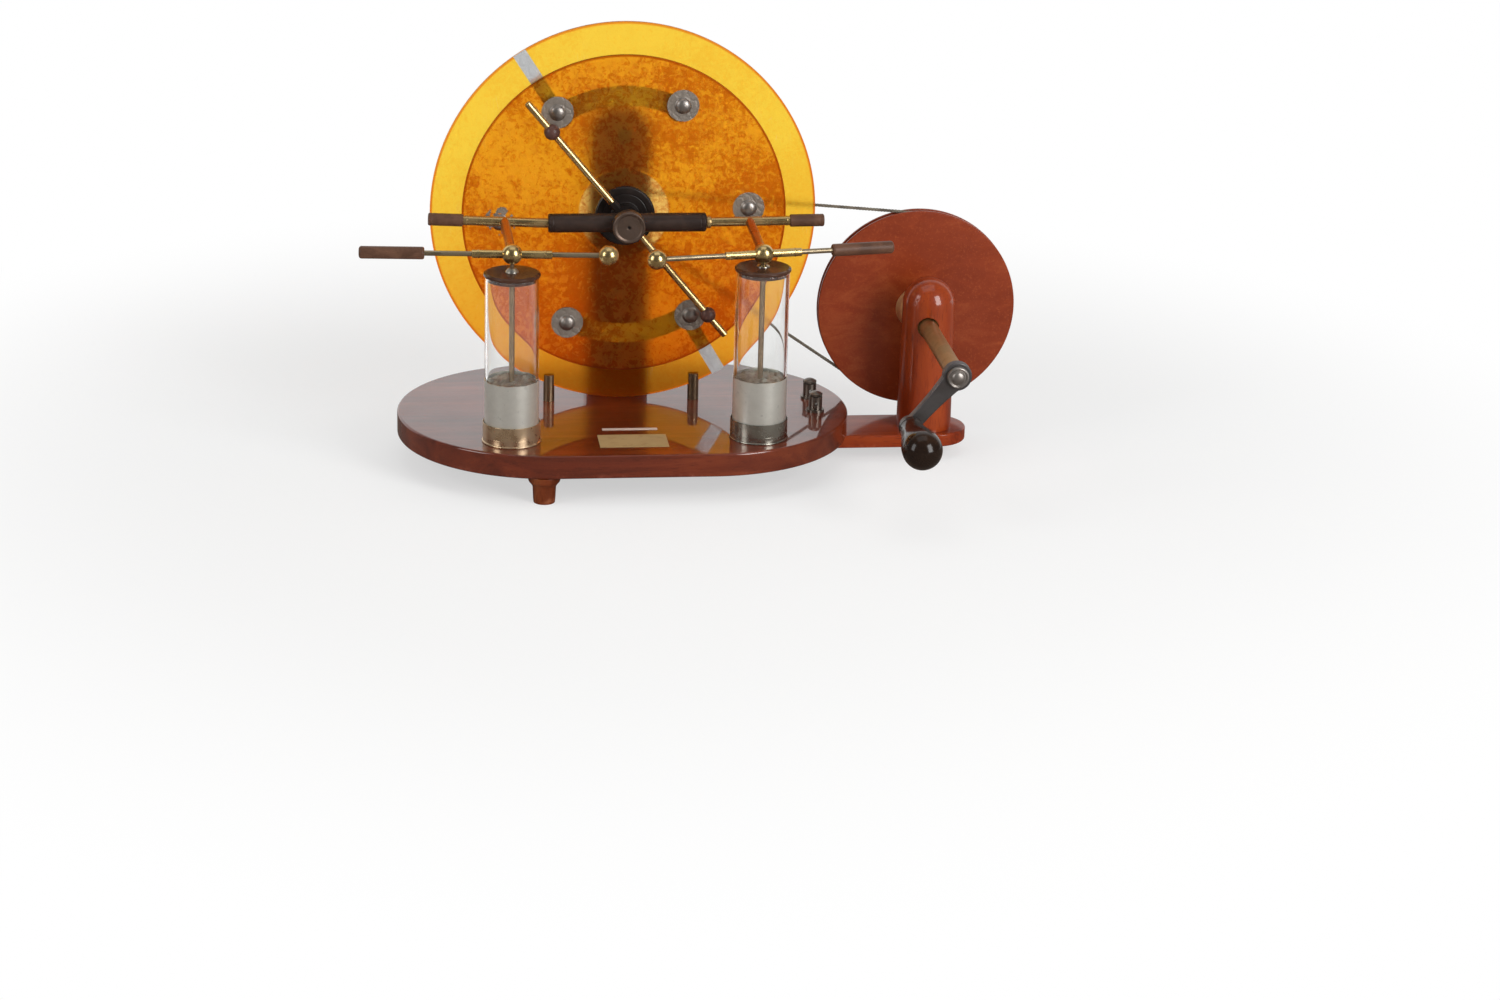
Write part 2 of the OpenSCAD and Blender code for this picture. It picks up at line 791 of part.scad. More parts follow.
module neutral_collar() {
    socket_r = neutral_d / 2 + socket_wall;
    place() color(ebonite) difference() {
        union() {
            rod_y(neutral_collar_d / 2, collar_front, collar_back);
            for (turn = [0, 180]) at_neutral() rotate([0, turn, 0])
                translate([socket_start, 0, 0]) rotate([0, 90, 0])
                    cylinder(r = socket_r, h = socket_end - socket_start);
        }
        rod_y(spindle_d / 2 + run_fit, collar_front - cut, collar_back + cut);
        for (turn = [0, 180]) at_neutral() rotate([0, turn, 0])
            translate([socket_start, 0, 0]) rotate([0, 90, 0])
                cylinder(r = neutral_d / 2 + run_fit, h = socket_end);
        rod_y(neutral_collar_d, collar_front - neutral_d, collar_front);
    }
}

module neutral_rod() {
    mouth_l = 8;
    start = socket_start + cut;
    place() color(brass) for (half = [[0, neutral_end_upper], [180, neutral_end_lower]])
        at_neutral() rotate([0, half[0] + 90, 0]) difference() {
            translate([0, 0, start]) cylinder(r = neutral_d / 2, h = half[1] - start);
            translate([0, 0, half[1] - mouth_l]) cylinder(r = neutral_d / 3, h = mouth_l + cut);
        }
}

// Repeats a piece at both brush balls
module at_brushes() {
    at_neutral() {
        translate([brush_upper, 0, 0]) children();
        translate([-brush_lower, 0, 0]) children();
    }
}

module neutral_balls() {
    place() color(ebonite) at_brushes() difference() {
        rotate([0, 90, 0]) sphere(r = brush_ball_d / 2);
        translate([-brush_ball_d, 0, 0]) rotate([0, 90, 0])
            cylinder(r = neutral_d / 2 + run_fit, h = 2 * brush_ball_d);
        rod_y(brush_r + run_fit, brush_ball_d / 2 - brush_seat, brush_ball_d);
    }
}

module neutral_brushes() {
    wire_r = brush_r * 0.3;
    ring_count = 6;
    tip = stud_top - free - neutral_y;
    place() color(brass) at_brushes() {
        rod_y(brush_r, brush_ball_d / 2 - brush_seat, brush_ball_d / 2);
        rod_y(wire_r, brush_ball_d / 2, tip);
        for (i = [0 : ring_count - 1]) rotate([0, i * 360 / ring_count, 0])
            translate([brush_r - 1.1 * wire_r, 0, 0]) rod_y(wire_r, brush_ball_d / 2, tip);
    }
}

// Hollow glass of a jar
module jar_glass(side) {
    place() color(glass, 0.35) at_jar(side) translate([0, 0, glass_bottom]) difference() {
        cylinder(r = glass_d / 2, h = glass_h(side));
        translate([0, 0, glass_t]) cylinder(r = glass_d / 2 - glass_t, h = glass_h(side));
    }
}

module jar_glass_left() {
    jar_glass(-1);
}

module jar_glass_right() {
    jar_glass(1);
}

// Metal cup that holds a jar's foot
module jar_cup(side) {
    lip_h = 2;
    lip = 0.8;
    at_jar(side) translate([0, 0, base_top]) difference() {
        union() {
            cylinder(r = cup_r + cup_t, h = cup_h);
            cylinder(r = cup_r + cup_t + lip, h = lip_h);
        }
        translate([0, 0, cup_floor]) cylinder(r = cup_r, h = cup_h);
        translate([0, 0, -cut]) cylinder(r = jar_bolt_d / 2 + run_fit, h = cup_floor + 2 * cut);
    }
}

module jar_cup_left() {
    place() color(brass) jar_cup(-1);
}

module jar_cup_right() {
    place() color(steel) jar_cup(1);
}

module outer_foils() {
    inner = glass_d / 2 + run_fit;
    place() color(foil) for (side = [-1, 1]) at_jar(side) translate([0, 0, glass_bottom]) difference() {
        cylinder(r = inner + foil_t, h = coat_h);
        translate([0, 0, -cut]) cylinder(r = inner, h = coat_h + 2 * cut);
    }
}

module inner_foils() {
    place() color(foil) for (side = [-1, 1]) at_jar(side) difference() {
        translate([0, 0, glass_bottom + glass_t])
            cylinder(r = glass_d / 2 - glass_t - run_fit, h = coat_h - glass_t);
        translate([0, 0, fill_top - rod_sink]) cylinder(r = jar_rod_d / 2 + run_fit, h = rod_sink + cut);
    }
}

module jar_lids() {
    plug_h = 4;
    place() color(ebonite) for (side = [-1, 1]) at_jar(side) difference() {
        union() {
            translate([0, 0, lid_bottom(side)]) cylinder(r = lid_d / 2, h = lid_t);
            translate([0, 0, lid_bottom(side) - plug_h])
                cylinder(r = glass_d / 2 - glass_t - 2 * run_fit, h = plug_h);
        }
        translate([0, 0, lid_bottom(side) - plug_h - cut])
            cylinder(r = jar_rod_d / 2 + run_fit, h = plug_h + lid_t + 2 * cut);
    }
}

module jar_rods() {
    place() color(brass) for (side = [-1, 1]) at_jar(side) {
        translate([0, 0, fill_top - rod_sink])
            cylinder(r = jar_rod_d / 2, h = nut_top(side) - fill_top + rod_sink);
        translate([0, 0, nut_top(side)]) cylinder(r = stem_d / 2, h = stem_top(side) - nut_top(side));
    }
}

module lid_nuts() {
    place() color(brass) for (side = [-1, 1]) at_jar(side) translate([0, 0, lid_top(side)]) difference() {
        cylinder(r1 = lid_nut_d / 2, r2 = jar_rod_d / 2 + 1, h = lid_nut_h(side));
        translate([0, 0, -cut]) cylinder(r = jar_rod_d / 2 + run_fit, h = lid_nut_h(side) + 2 * cut);
    }
}

module jar_bolts() {
    head_h = 4;
    place() color(nickel) for (side = [-1, 1]) at_jar(side) {
        translate([0, 0, base_bottom - head_h]) cylinder(r = jar_bolt_d, h = head_h);
        translate([0, 0, base_bottom]) cylinder(r = jar_bolt_d / 2, h = base_t + cup_floor);
    }
}

// Ball that turns on a jar's stem, with the tube that guides the rod
module swivel_tube(side) {
    place() color(brass) difference() {
        at_rod(side) union() {
            sphere(r = ball_d / 2);
            rotate([0, 90, 0]) cylinder(r = tube_r, h = tube_l, center = true);
        }
        at_rod(side) rotate([0, 90, 0])
            cylinder(r = rod_d / 2 + run_fit, h = tube_l + 2 * cut, center = true);
        at_rod(side) translate([0, 0, -ball_d]) cylinder(r = stem_d / 2 + run_fit, h = ball_d);
    }
}

module swivel_tube_left() {
    swivel_tube(-1);
}

module swivel_tube_right() {
    swivel_tube(1);
}

module discharge_rod(side) {
    inner = rod_in(side) - spark_ball_d / 2 + ball_seat;
    outer = rod_l - rod_in(side) - grip_l + grip_seat;
    place() color(steel) at_rod(side) translate([-inner, 0, 0]) rotate([0, 90, 0])
        cylinder(r = rod_d / 2, h = inner + outer);
}

module discharge_rod_left() {
    discharge_rod(-1);
}

module discharge_rod_right() {
    discharge_rod(1);
}

module spark_ball(side) {
    place() color(brass) at_rod(side) translate([-rod_in(side), 0, 0]) difference() {
        sphere(r = spark_ball_d / 2);
        translate([spark_ball_d / 2 - ball_seat - run_fit, 0, 0]) rotate([0, 90, 0])
            cylinder(r = rod_d / 2 + run_fit, h = spark_ball_d);
    }
}

module spark_ball_left() {
    spark_ball(-1);
}

module spark_ball_right() {
    spark_ball(1);
}

module discharge_grip(side) {
    round_l = 1.6;
    grip_r = grip_d / 2;
    start = rod_l - rod_in(side) - grip_l;
    place() color(ebonite) at_rod(side) translate([start, 0, 0]) rotate([0, 90, 0]) difference() {
        rotate_extrude() polygon([
            [0, 0], [grip_r - round_l, 0], [grip_r, round_l], [grip_r, grip_l - round_l],
            [grip_r - round_l, grip_l], [0, grip_l],
        ]);
        translate([0, 0, -cut]) cylinder(r = rod_d / 2 + run_fit, h = grip_seat + run_fit + cut);
    }
}

module discharge_grip_left() {
    discharge_grip(-1);
}

module discharge_grip_right() {
    discharge_grip(1);
}

module terminal_posts() {
    place() color(nickel) for (back = [0, 1]) at_terminal(back) difference() {
        union() {
            cylinder(r = terminal_d / 2 + terminal_flange, h = terminal_flange_h);
            cylinder(r = terminal_d / 2, h = terminal_h);
            translate([0, 0, -terminal_h]) cylinder(r = terminal_pin_r, h = terminal_h);
        }
        translate([0, 0, wire_hole_h]) rod_y(wire_hole_d / 2, -terminal_d, terminal_d);
        translate([0, 0, wire_hole_h]) cylinder(r = thumb_d / 2 + run_fit, h = terminal_h);
    }
}

// Thumb screw that closes a terminal's wire hole
module terminal_screw(back) {
    head_h = 2.2;
    tip = wire_hole_h + wire_hole_d / 2 + thumb_room;
    place() color(nickel) at_terminal(back) {
        translate([0, 0, tip]) cylinder(r = thumb_d / 2, h = terminal_h + free - tip);
        translate([0, 0, terminal_h + free]) cylinder(r = terminal_d / 2, h = head_h);
        translate([0, 0, terminal_h + free + head_h]) dome(terminal_d / 2, head_h);
    }
}

module terminal_screw_front() {
    terminal_screw(0);
}

module terminal_screw_back() {
    terminal_screw(1);
}

module name_plate() {
    place() color(paper)
        translate([-name_plate_w / 2, -name_plate_front - name_plate_depth / 2, base_top])
            cube([name_plate_w, name_plate_depth, label_t]);
}

module paper_strip() {
    place() color(paper_pale)
        translate([-strip_plate_w / 2, -strip_plate_front - strip_plate_depth / 2, base_top])
            cube([strip_plate_w, strip_plate_depth, label_t]);
}

module wheel_column() {
    place() color(wood_light) difference() {
        union() {
            translate([column_x, plank_y, base_bottom])
                cylinder(r1 = column_foot_d / 2, r2 = column_r, h = column_z - base_bottom);
            translate([column_x, plank_y, column_z]) sphere(r = column_r);
        }
        at_wheel() rod_y(bush_d / 2 + run_fit, plank_y - column_d, plank_y + column_d);
        screw_set(run_fit);
    }
}

module column_bushes() {
    place() color(brass) at_wheel() for (y = [column_front + bush_sink, column_back - bush_l]) difference() {
        rod_y(bush_d / 2, y, y + bush_l);
        rod_y(shaft_d / 2 + run_fit, y - cut, y + bush_l + cut);
    }
}

// Directions of a belt's rings on a pulley
function belt_turns(from, to) = [for (i = [0 : belt_steps]) from + (to - from) * i / belt_steps];

// Points of one ring of the belt round its route
function belt_ring(x, z, pitch_r, turn) = [
    for (j = [0 : belt_sides - 1])
        let (side = 360 * j / belt_sides, reach = pitch_r + belt_r * cos(side))
        [x + reach * cos(turn), belt_y + belt_r * sin(side), z + reach * sin(turn)]
];

module drive_belt() {
    rings = concat(
        [for (turn = belt_turns(belt_upper, belt_lower + 360)) belt_ring(0, 0, pulley_pitch_r, turn)],
        [for (turn = belt_turns(belt_lower, belt_upper)) belt_ring(wheel_x, wheel_z, wheel_pitch_r, turn)]
    );
    count = len(rings);
    points = [for (ring = rings) each ring];
    faces = [
        for (i = [0 : count - 1], j = [0 : belt_sides - 1])
            let (
                a = i * belt_sides + j,
                b = i * belt_sides + (j + 1) % belt_sides,
                c = (i + 1) % count * belt_sides + (j + 1) % belt_sides,
                d = (i + 1) % count * belt_sides + j
            )
            each [[a, b, c], [a, c, d]]
    ];
    place() color(cord) polyhedron(points, faces);
}

module rotating_disc() {
    place() color(amber_deep, 0.8) difference() {
        rod_y(disc_d / 2, disc_front, disc_back);
        rod_y(sleeve_d / 2 + run_fit, disc_front - cut, disc_back + cut);
    }
}

module disc_hub() {
    hub_round = 1;
    boss_tip = collar_back + free;
    hub_boss_r = hub_boss_d / 2;
    hub_r = hub_d / 2;
    sleeve_r = sleeve_d / 2;
    place() color(ebonite) difference() {
        spun_y([
            [0, boss_tip], [hub_boss_r - hub_round, boss_tip], [hub_boss_r, boss_tip + hub_round],
            [hub_boss_r, hub_front], [hub_r - hub_round, hub_front], [hub_r, hub_front + hub_round],
            [hub_r, disc_front], [sleeve_r, disc_front], [sleeve_r, sleeve_back], [0, sleeve_back],
        ]);
        rod_y(spindle_d / 2 + run_fit, boss_tip - cut, sleeve_back + cut);
    }
}

module hub_nut() {
    place() color(ebonite) difference() {
        rod_y(hub_nut_d / 2, disc_back, disc_back + hub_nut_t);
        rod_y(sleeve_d / 2 + run_fit, disc_back - cut, disc_back + hub_nut_t + cut);
    }
}

// Rim profile of a grooved wheel about Y, cut for the belt
module groove(pitch_r, rim_r) {
    floor_r = pitch_r - belt_r - belt_room;
    floor_w = belt_r + belt_room;
    mouth_w = floor_w + (rim_r + cut - floor_r) * 0.35;
    spun_y([
        [floor_r, belt_y - floor_w], [rim_r + cut, belt_y - mouth_w],
        [rim_r + cut, belt_y + mouth_w], [floor_r, belt_y + floor_w],
    ]);
}

module pulley() {
    place() color(wood_light) difference() {
        rod_y(pulley_r, sleeve_back - pulley_w, sleeve_back);
        rod_y(sleeve_d / 2 + run_fit, sleeve_back - pulley_w - cut, sleeve_back + cut);
        groove(pulley_pitch_r, pulley_r);
    }
}

module carrier_foils() {
    place() color(foil) at_carriers() rod_y(carrier_foil_d / 2, disc_front - foil_t, disc_front);
}

module carrier_studs() {
    place() color(nickel) at_carriers()
        translate([0, disc_front - foil_t, 0]) rotate([90, 0, 0]) dome(stud_d / 2, stud_h);
}

module drive_wheel() {
    place() color(wood) at_wheel() difference() {
        rod_y(wheel_r, wheel_front, wheel_back);
        rod_y(shaft_d / 2 + run_fit, wheel_front - cut, wheel_back + cut);
        groove(wheel_pitch_r, wheel_r);
    }
}

module wheel_hub() {
    foot_t = 4;
    nose_r = bush_d / 2;
    boss_r = boss_d / 2;
    turn_steps = 8;
    nose_l = wheel_front - foot_t - boss_front;
    place() color(brass) at_wheel() difference() {
        spun_y(concat(
            [[0, boss_front], [nose_r, boss_front]],
            [for (i = [1 : turn_steps]) [
                nose_r + (boss_r - nose_r) * sin(90 * i / turn_steps),
                boss_front + nose_l * (1 - cos(90 * i / turn_steps)),
            ]],
            [[boss_r, wheel_front], [0, wheel_front]]
        ));
        rod_y(shaft_d / 2 + run_fit, boss_front - cut, wheel_front + cut);
    }
}

module wheel_nut() {
    place() color(brass) at_wheel() difference() {
        rod_y(wheel_nut_r, wheel_back, wheel_back + wheel_nut_t);
        rod_y(shaft_tip_d / 2 + run_fit, wheel_back - cut, wheel_back + wheel_nut_t + cut);
    }
}

module crank_shaft() {
    place() color(brass) at_wheel() {
        rod_y(shaft_d / 2, crank_back, wheel_back);
        rod_y(shaft_tip_d / 2, wheel_back, wheel_back + wheel_nut_t);
        rod_y(shaft_tip_d / 2, crank_face, crank_back);
    }
}

module crank_arm() {
    boss_half = crank_boss_d * 0.36;
    eye_half = crank_eye_d * 0.36;
    place() color(steel) at_wheel() translate([0, crank_back, 0]) rotate([90, 0, 0])
        rotate([0, 0, crank_turn]) linear_extrude(height = crank_t) difference() {
            union() {
                circle(r = crank_boss_d / 2);
                translate([crank_l, 0]) circle(r = crank_eye_d / 2);
                polygon([[0, -boss_half], [crank_l, -eye_half], [crank_l, eye_half], [0, boss_half]]);
            }
            circle(r = shaft_tip_d / 2 + run_fit);
            translate([crank_l, 0]) circle(r = pin_d / 2 + run_fit);
        }
}

module crank_nut() {
    nut_r = crank_nut_d / 2;
    bead = 1;
    crown_r = nut_r * 0.62;
    place() color(nickel) at_wheel() {
        spun_y([
            [0, crank_face], [nut_r, crank_face], [nut_r, crank_face - crank_nut_t + bead],
            [nut_r - bead, crank_face - crank_nut_t], [nut_r - 2 * bead, crank_face - crank_nut_t + bead],
            [0, crank_face - crank_nut_t + bead],
        ]);
        translate([0, crank_face - crank_nut_t + bead, 0]) rotate([90, 0, 0]) dome(crown_r, crank_nut_t);
    }
}

module handle_pin() {
    place() color(steel) at_handle() rod_y(pin_d / 2, handle_back - pin_l, crank_back);
}

// Turned handle: a neck that swells into a round end
module crank_handle() {
    bulb_r = handle_d / 2;
    neck_r = handle_neck_d / 2;
    bulb_l = handle_l - bulb_r;
    steps = 12;
    place() color(ebonite) at_handle() difference() {
        spun_y(concat(
            [[0, handle_back], [neck_r, handle_back]],
            [for (i = [1 : steps]) [
                neck_r + (bulb_r - neck_r) * (1 - cos(180 * i / steps)) / 2,
                handle_back - bulb_l * i / steps,
            ]],
            [for (i = [1 : steps - 1]) [
                bulb_r * cos(90 * i / steps),
                handle_back - bulb_l - bulb_r * sin(90 * i / steps),
            ]],
            [[0, handle_front]]
        ));
        rod_y(pin_d / 2 + run_fit, handle_back - pin_l - free, handle_back + cut);
    }
}

base_board();
crank_plank();
feet();
base_screws();
rear_upright();
spindle();
plate_pegs();
fixed_plate();
inductors();
plate_stay();
crossbar();
comb_rod_left();
comb_rod_right();
comb_sleeves();
comb_arms();
end_knob();
neutral_collar();
neutral_rod();
neutral_balls();
neutral_brushes();
jar_glass_left();
jar_glass_right();
jar_cup_left();
jar_cup_right();
outer_foils();
inner_foils();
jar_lids();
jar_rods();
lid_nuts();
jar_bolts();
swivel_tube_left();
swivel_tube_right();
discharge_rod_left();
discharge_rod_right();
spark_ball_left();
spark_ball_right();
discharge_grip_left();
discharge_grip_right();
terminal_posts();
terminal_screw_front();
terminal_screw_back();
name_plate();
paper_strip();
wheel_column();
column_bushes();
drive_belt();
rotating_disc();
disc_hub();
hub_nut();
pulley();
carrier_foils();
carrier_studs();
drive_wheel();
wheel_hub();
wheel_nut();
crank_shaft();
crank_arm();
crank_nut();
handle_pin();
crank_handle();
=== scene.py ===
"""Looks of a hand-cranked influence machine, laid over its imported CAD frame.

Sizes are in millimetres in the spindle frame, whose origin is the middle of the fixed plate's front face.
"""

import json
import logging
import math
from collections.abc import Iterable, Sequence
from dataclasses import dataclass, field
from enum import Enum
from functools import cache

import bmesh
import bpy
from mathutils import Matrix, Vector, noise


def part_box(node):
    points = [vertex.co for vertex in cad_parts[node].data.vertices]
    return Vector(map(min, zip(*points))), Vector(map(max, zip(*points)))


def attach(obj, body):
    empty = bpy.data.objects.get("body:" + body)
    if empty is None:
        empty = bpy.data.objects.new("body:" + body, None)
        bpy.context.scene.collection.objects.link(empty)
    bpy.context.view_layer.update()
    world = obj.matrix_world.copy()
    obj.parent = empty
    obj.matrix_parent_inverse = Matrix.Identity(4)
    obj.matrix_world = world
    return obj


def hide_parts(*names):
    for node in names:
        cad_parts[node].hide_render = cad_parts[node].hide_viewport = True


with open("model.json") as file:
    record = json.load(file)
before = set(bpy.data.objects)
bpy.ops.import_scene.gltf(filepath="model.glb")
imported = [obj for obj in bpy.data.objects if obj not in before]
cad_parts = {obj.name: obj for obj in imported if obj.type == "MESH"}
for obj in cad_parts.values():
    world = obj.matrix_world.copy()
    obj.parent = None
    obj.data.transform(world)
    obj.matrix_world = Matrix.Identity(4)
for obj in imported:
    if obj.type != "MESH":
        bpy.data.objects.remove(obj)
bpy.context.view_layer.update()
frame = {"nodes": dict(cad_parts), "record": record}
JOINTS = {joint["name"]: joint for joint in frame["record"]["behaviour"]["joints"]}
LOG = logging.getLogger("influence_machine")
MM = 0.001
FIT = 0.05  # play between pieces that fit into each other, in millimetres
BACK, FRONT = Vector((0, 1, 0)), Vector((0, -1, 0))
UP, DOWN = Vector((0, 0, 1)), Vector((0, 0, -1))
RIGHTWARD = Vector((1, 0, 0))
Point = tuple[float, float]
Profile = Sequence[Point]
Colour = tuple[float, float, float]


def rgba(colour: Colour) -> tuple[float, float, float, float]:
    """Colour with full alpha."""
    return (*colour, 1.0)


def arc(centre: Point, radius: float, start: float, end: float, steps: int) -> list[Point]:
    """Points of an arc in a turning profile.

    Args:
        centre: Radius and height of the arc's centre.
        radius: Radius of the arc.
        start: First angle in degrees, from the radial direction towards +height.
        end: Last angle in degrees.
        steps: Number of chords.

    Returns:
        The points, both ends included.
    """
    angles = [math.radians(start + (end - start) * i / steps) for i in range(steps + 1)]
    return [(centre[0] + radius * math.cos(a), centre[1] + radius * math.sin(a)) for a in angles]


def quarter(centre: Point, wide: float, tall: float, steps: int) -> list[Point]:
    """Points of a quarter ellipse in a turning profile, from its rim up to its axis.

    Args:
        centre: Radius and height of the ellipse's centre.
        wide: Half axis along the radius.
        tall: Half axis along the height.
        steps: Number of chords.

    Returns:
        The points, both ends included.
    """
    angles = [math.pi / 2 * i / steps for i in range(steps + 1)]
    return [(centre[0] + wide * math.cos(a), centre[1] + tall * math.sin(a)) for a in angles]


class Side(Enum):
    """Left or right half of the machine, as its operator sees it."""

    LEFT = -1
    RIGHT = 1

    @property
    def word(self) -> str:
        """Name used in the nodes."""
        return self.name.lower()


class Grain(Enum):
    """Direction of a wood's grain in the row frame."""

    ALONG_X = 0
    ALONG_Y = 1
    ALONG_Z = 2

    def stretch(self, share: float) -> Colour:
        """Scale that draws a pattern out along the grain."""
        return tuple(share if grain is self else 1.0 for grain in Grain)


@dataclass(frozen=True)
class Datum:
    """The spindle frame's place in the row frame."""

    origin: Vector

    @classmethod
    def from_frame(cls) -> "Datum":
        """Finds the spindle from the fixed plate's box."""
        low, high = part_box("fixed_plate")
        return cls(Vector(((low.x + high.x) / 2, low.y, (low.z + high.z) / 2)))

    def at(self, x: float, y: float, z: float) -> Vector:
        """Row-frame place, in metres, of a point of the spindle frame."""
        return self.origin + Vector((x, y, z)) * MM


DATUM = Datum.from_frame()


@dataclass(frozen=True)
class Extent:
    """A CAD node's box at rest, in millimetres of the spindle frame."""

    low: Vector
    high: Vector

    @classmethod
    def of(cls, node: str) -> "Extent":
        """Measures a node."""
        low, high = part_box(node)
        return cls((low - DATUM.origin) / MM, (high - DATUM.origin) / MM)

    @property
    def middle(self) -> Vector:
        """Middle of the box."""
        return (self.low + self.high) / 2

    @property
    def size(self) -> Vector:
        """Lengths of the box."""
        return self.high - self.low


class Shade:
    """A value socket on which arithmetic adds Math nodes."""

    def __init__(self, graph: "Graph", socket: bpy.types.NodeSocket) -> None:
        """Wraps a socket of a graph."""
        self.graph = graph
        self.socket = socket

    def _math(self, operation: str, first: "Shade | float", second: "Shade | float") -> "Shade":
        """Adds one Math node."""
        made = self.graph.node("ShaderNodeMath", {"operation": operation}, {0: first, 1: second})
        return Shade(self.graph, made.outputs[0])

    def __add__(self, other: "Shade | float") -> "Shade":
        """Sum."""
        return self._math("ADD", self, other)

    __radd__ = __add__

    def __sub__(self, other: "Shade | float") -> "Shade":
        """Difference."""
        return self._math("SUBTRACT", self, other)

    def __rsub__(self, other: float) -> "Shade":
        """Reflected difference."""
        return self._math("SUBTRACT", other, self)

    def __mul__(self, other: "Shade | float") -> "Shade":
        """Product."""
        return self._math("MULTIPLY", self, other)

    __rmul__ = __mul__

    def larger(self, other: "Shade | float") -> "Shade":
        """The larger of two values."""
        return self._math("MAXIMUM", self, other)

    def step(self, low: float, high: float) -> "Shade":
        """Smooth step from 0 at low to 1 at high."""
        made = self.graph.node(
            "ShaderNodeMapRange",
            {"interpolation_type": "SMOOTHSTEP"},
            {"Value": self, "From Min": low, "From Max": high},
        )
        return Shade(self.graph, made.outputs[0])


class Graph:
    """A node tree that is filled by calls."""

    def __init__(self, tree: bpy.types.NodeTree) -> None:
        """Empties the tree."""
        self.tree = tree
        tree.nodes.clear()

    def node(self, kind: str, settings: dict | None = None, inputs: dict | None = None) -> bpy.types.Node:
        """Makes any node.

        Args:
            kind: The node's type.
            settings: Its properties; stops are a ramp's positions and colours.
            inputs: Values or links of its sockets, by name or number.

        Returns:
            The node.
        """
        made = self.tree.nodes.new(kind)
        for key, value in (settings or {}).items():
            if key == "stops":
                ramp = made.color_ramp
                while len(ramp.elements) < len(value):
                    ramp.elements.new(0.5)
                for element, (place, colour) in zip(ramp.elements, value):
                    element.position = place
                    element.color = rgba(colour)
            else:
                setattr(made, key, value)
        for key, value in (inputs or {}).items():
            socket = made.inputs[key]
            if isinstance(value, Shade):
                self.tree.links.new(value.socket, socket)
            elif isinstance(value, bpy.types.NodeSocket):
                self.tree.links.new(value, socket)
            else:
                socket.default_value = value
        return made

    def coords(
        self, scale: Colour = (1, 1, 1), centre: Vector | None = None, turn: Colour = (0, 0, 0)
    ) -> bpy.types.NodeSocket:
        """Object coordinates, moved to a centre, turned and scaled.

        Args:
            scale: Factor on each axis.
            centre: Row-frame point that becomes the origin.
            turn: Euler angles in degrees.

        Returns:
            The vector socket.
        """
        place = self.node("ShaderNodeTexCoord").outputs["Object"]
        if centre is not None:
            moved = self.node("ShaderNodeVectorMath", {"operation": "SUBTRACT"}, {0: place, 1: tuple(centre)})
            place = moved.outputs[0]
        angles = tuple(math.radians(a) for a in turn)
        mapped = self.node("ShaderNodeMapping", {}, {"Vector": place, "Rotation": angles, "Scale": scale})
        return mapped.outputs[0]

    def axis(self, vector: bpy.types.NodeSocket, index: int) -> Shade:
        """One coordinate of a vector."""
        return Shade(self, self.node("ShaderNodeSeparateXYZ", {}, {0: vector}).outputs[index])

    def length(self, vector: bpy.types.NodeSocket) -> Shade:
        """Length of a vector."""
        made = self.node("ShaderNodeVectorMath", {"operation": "LENGTH"}, {0: vector})
        return Shade(self, made.outputs["Value"])

    def noise(
        self, vector: bpy.types.NodeSocket, scale: float, detail: float = 4, rough: float = 0.55, bend: float = 0
    ) -> Shade:
        """Fractal noise about 0.5."""
        made = self.node(
            "ShaderNodeTexNoise",
            {},
            {"Vector": vector, "Scale": scale, "Detail": detail, "Roughness": rough, "Distortion": bend},
        )
        return Shade(self, made.outputs[0])

    def cells(self, vector: bpy.types.NodeSocket, scale: float) -> Shade:
        """Distance to the nearest border of a cell pattern."""
        border = {"feature": "DISTANCE_TO_EDGE"}
        made = self.node("ShaderNodeTexVoronoi", border, {"Vector": vector, "Scale": scale})
        return Shade(self, made.outputs["Distance"])

    def ramp(self, value: Shade, stops: Iterable[tuple[float, Colour]]) -> bpy.types.NodeSocket:
        """Colours along a value."""
        return self.node("ShaderNodeValToRGB", {"stops": list(stops)}, {0: value}).outputs[0]

    def mix(self, amount: Shade | float, first: object, second: object, blend: str = "MIX") -> bpy.types.NodeSocket:
        """Mixes two colours.

        Args:
            amount: Share of the second colour.
            first: Colour or socket.
            second: Colour or socket.
            blend: Blend type.

        Returns:
            The colour socket.
        """
        pair = [rgba(c) if isinstance(c, tuple) else c for c in (first, second)]
        made = self.node(
            "ShaderNodeMix", {"data_type": "RGBA", "blend_type": blend}, {0: amount, 6: pair[0], 7: pair[1]}
        )
        return made.outputs[2]

    def bump(self, height: Shade, strength: float, depth: float) -> bpy.types.NodeSocket:
        """Normal of a height; depth is in metres."""
        made = self.node("ShaderNodeBump", {}, {"Strength": strength, "Distance": depth, "Height": height})
        return made.outputs[0]

    def surface(self, values: dict) -> None:
        """Closes a material with one principled shader."""
        shader = self.node("ShaderNodeBsdfPrincipled", {}, values)
        self.node("ShaderNodeOutputMaterial", {}, {"Surface": shader.outputs[0]})


@dataclass(frozen=True)
class Finish:
    """A surface finish; subclasses draw it."""

    name: str
    slot: str

    def draw(self, graph: Graph) -> None:
        """Fills the material's graph."""
        raise NotImplementedError

    @cache
    def material(self) -> bpy.types.Material:
        """The finish's material, made at its first use."""
        made = bpy.data.materials.new(f"{self.name}_finish")
        made.use_nodes = True
        self.draw(Graph(made.node_tree))
        return made


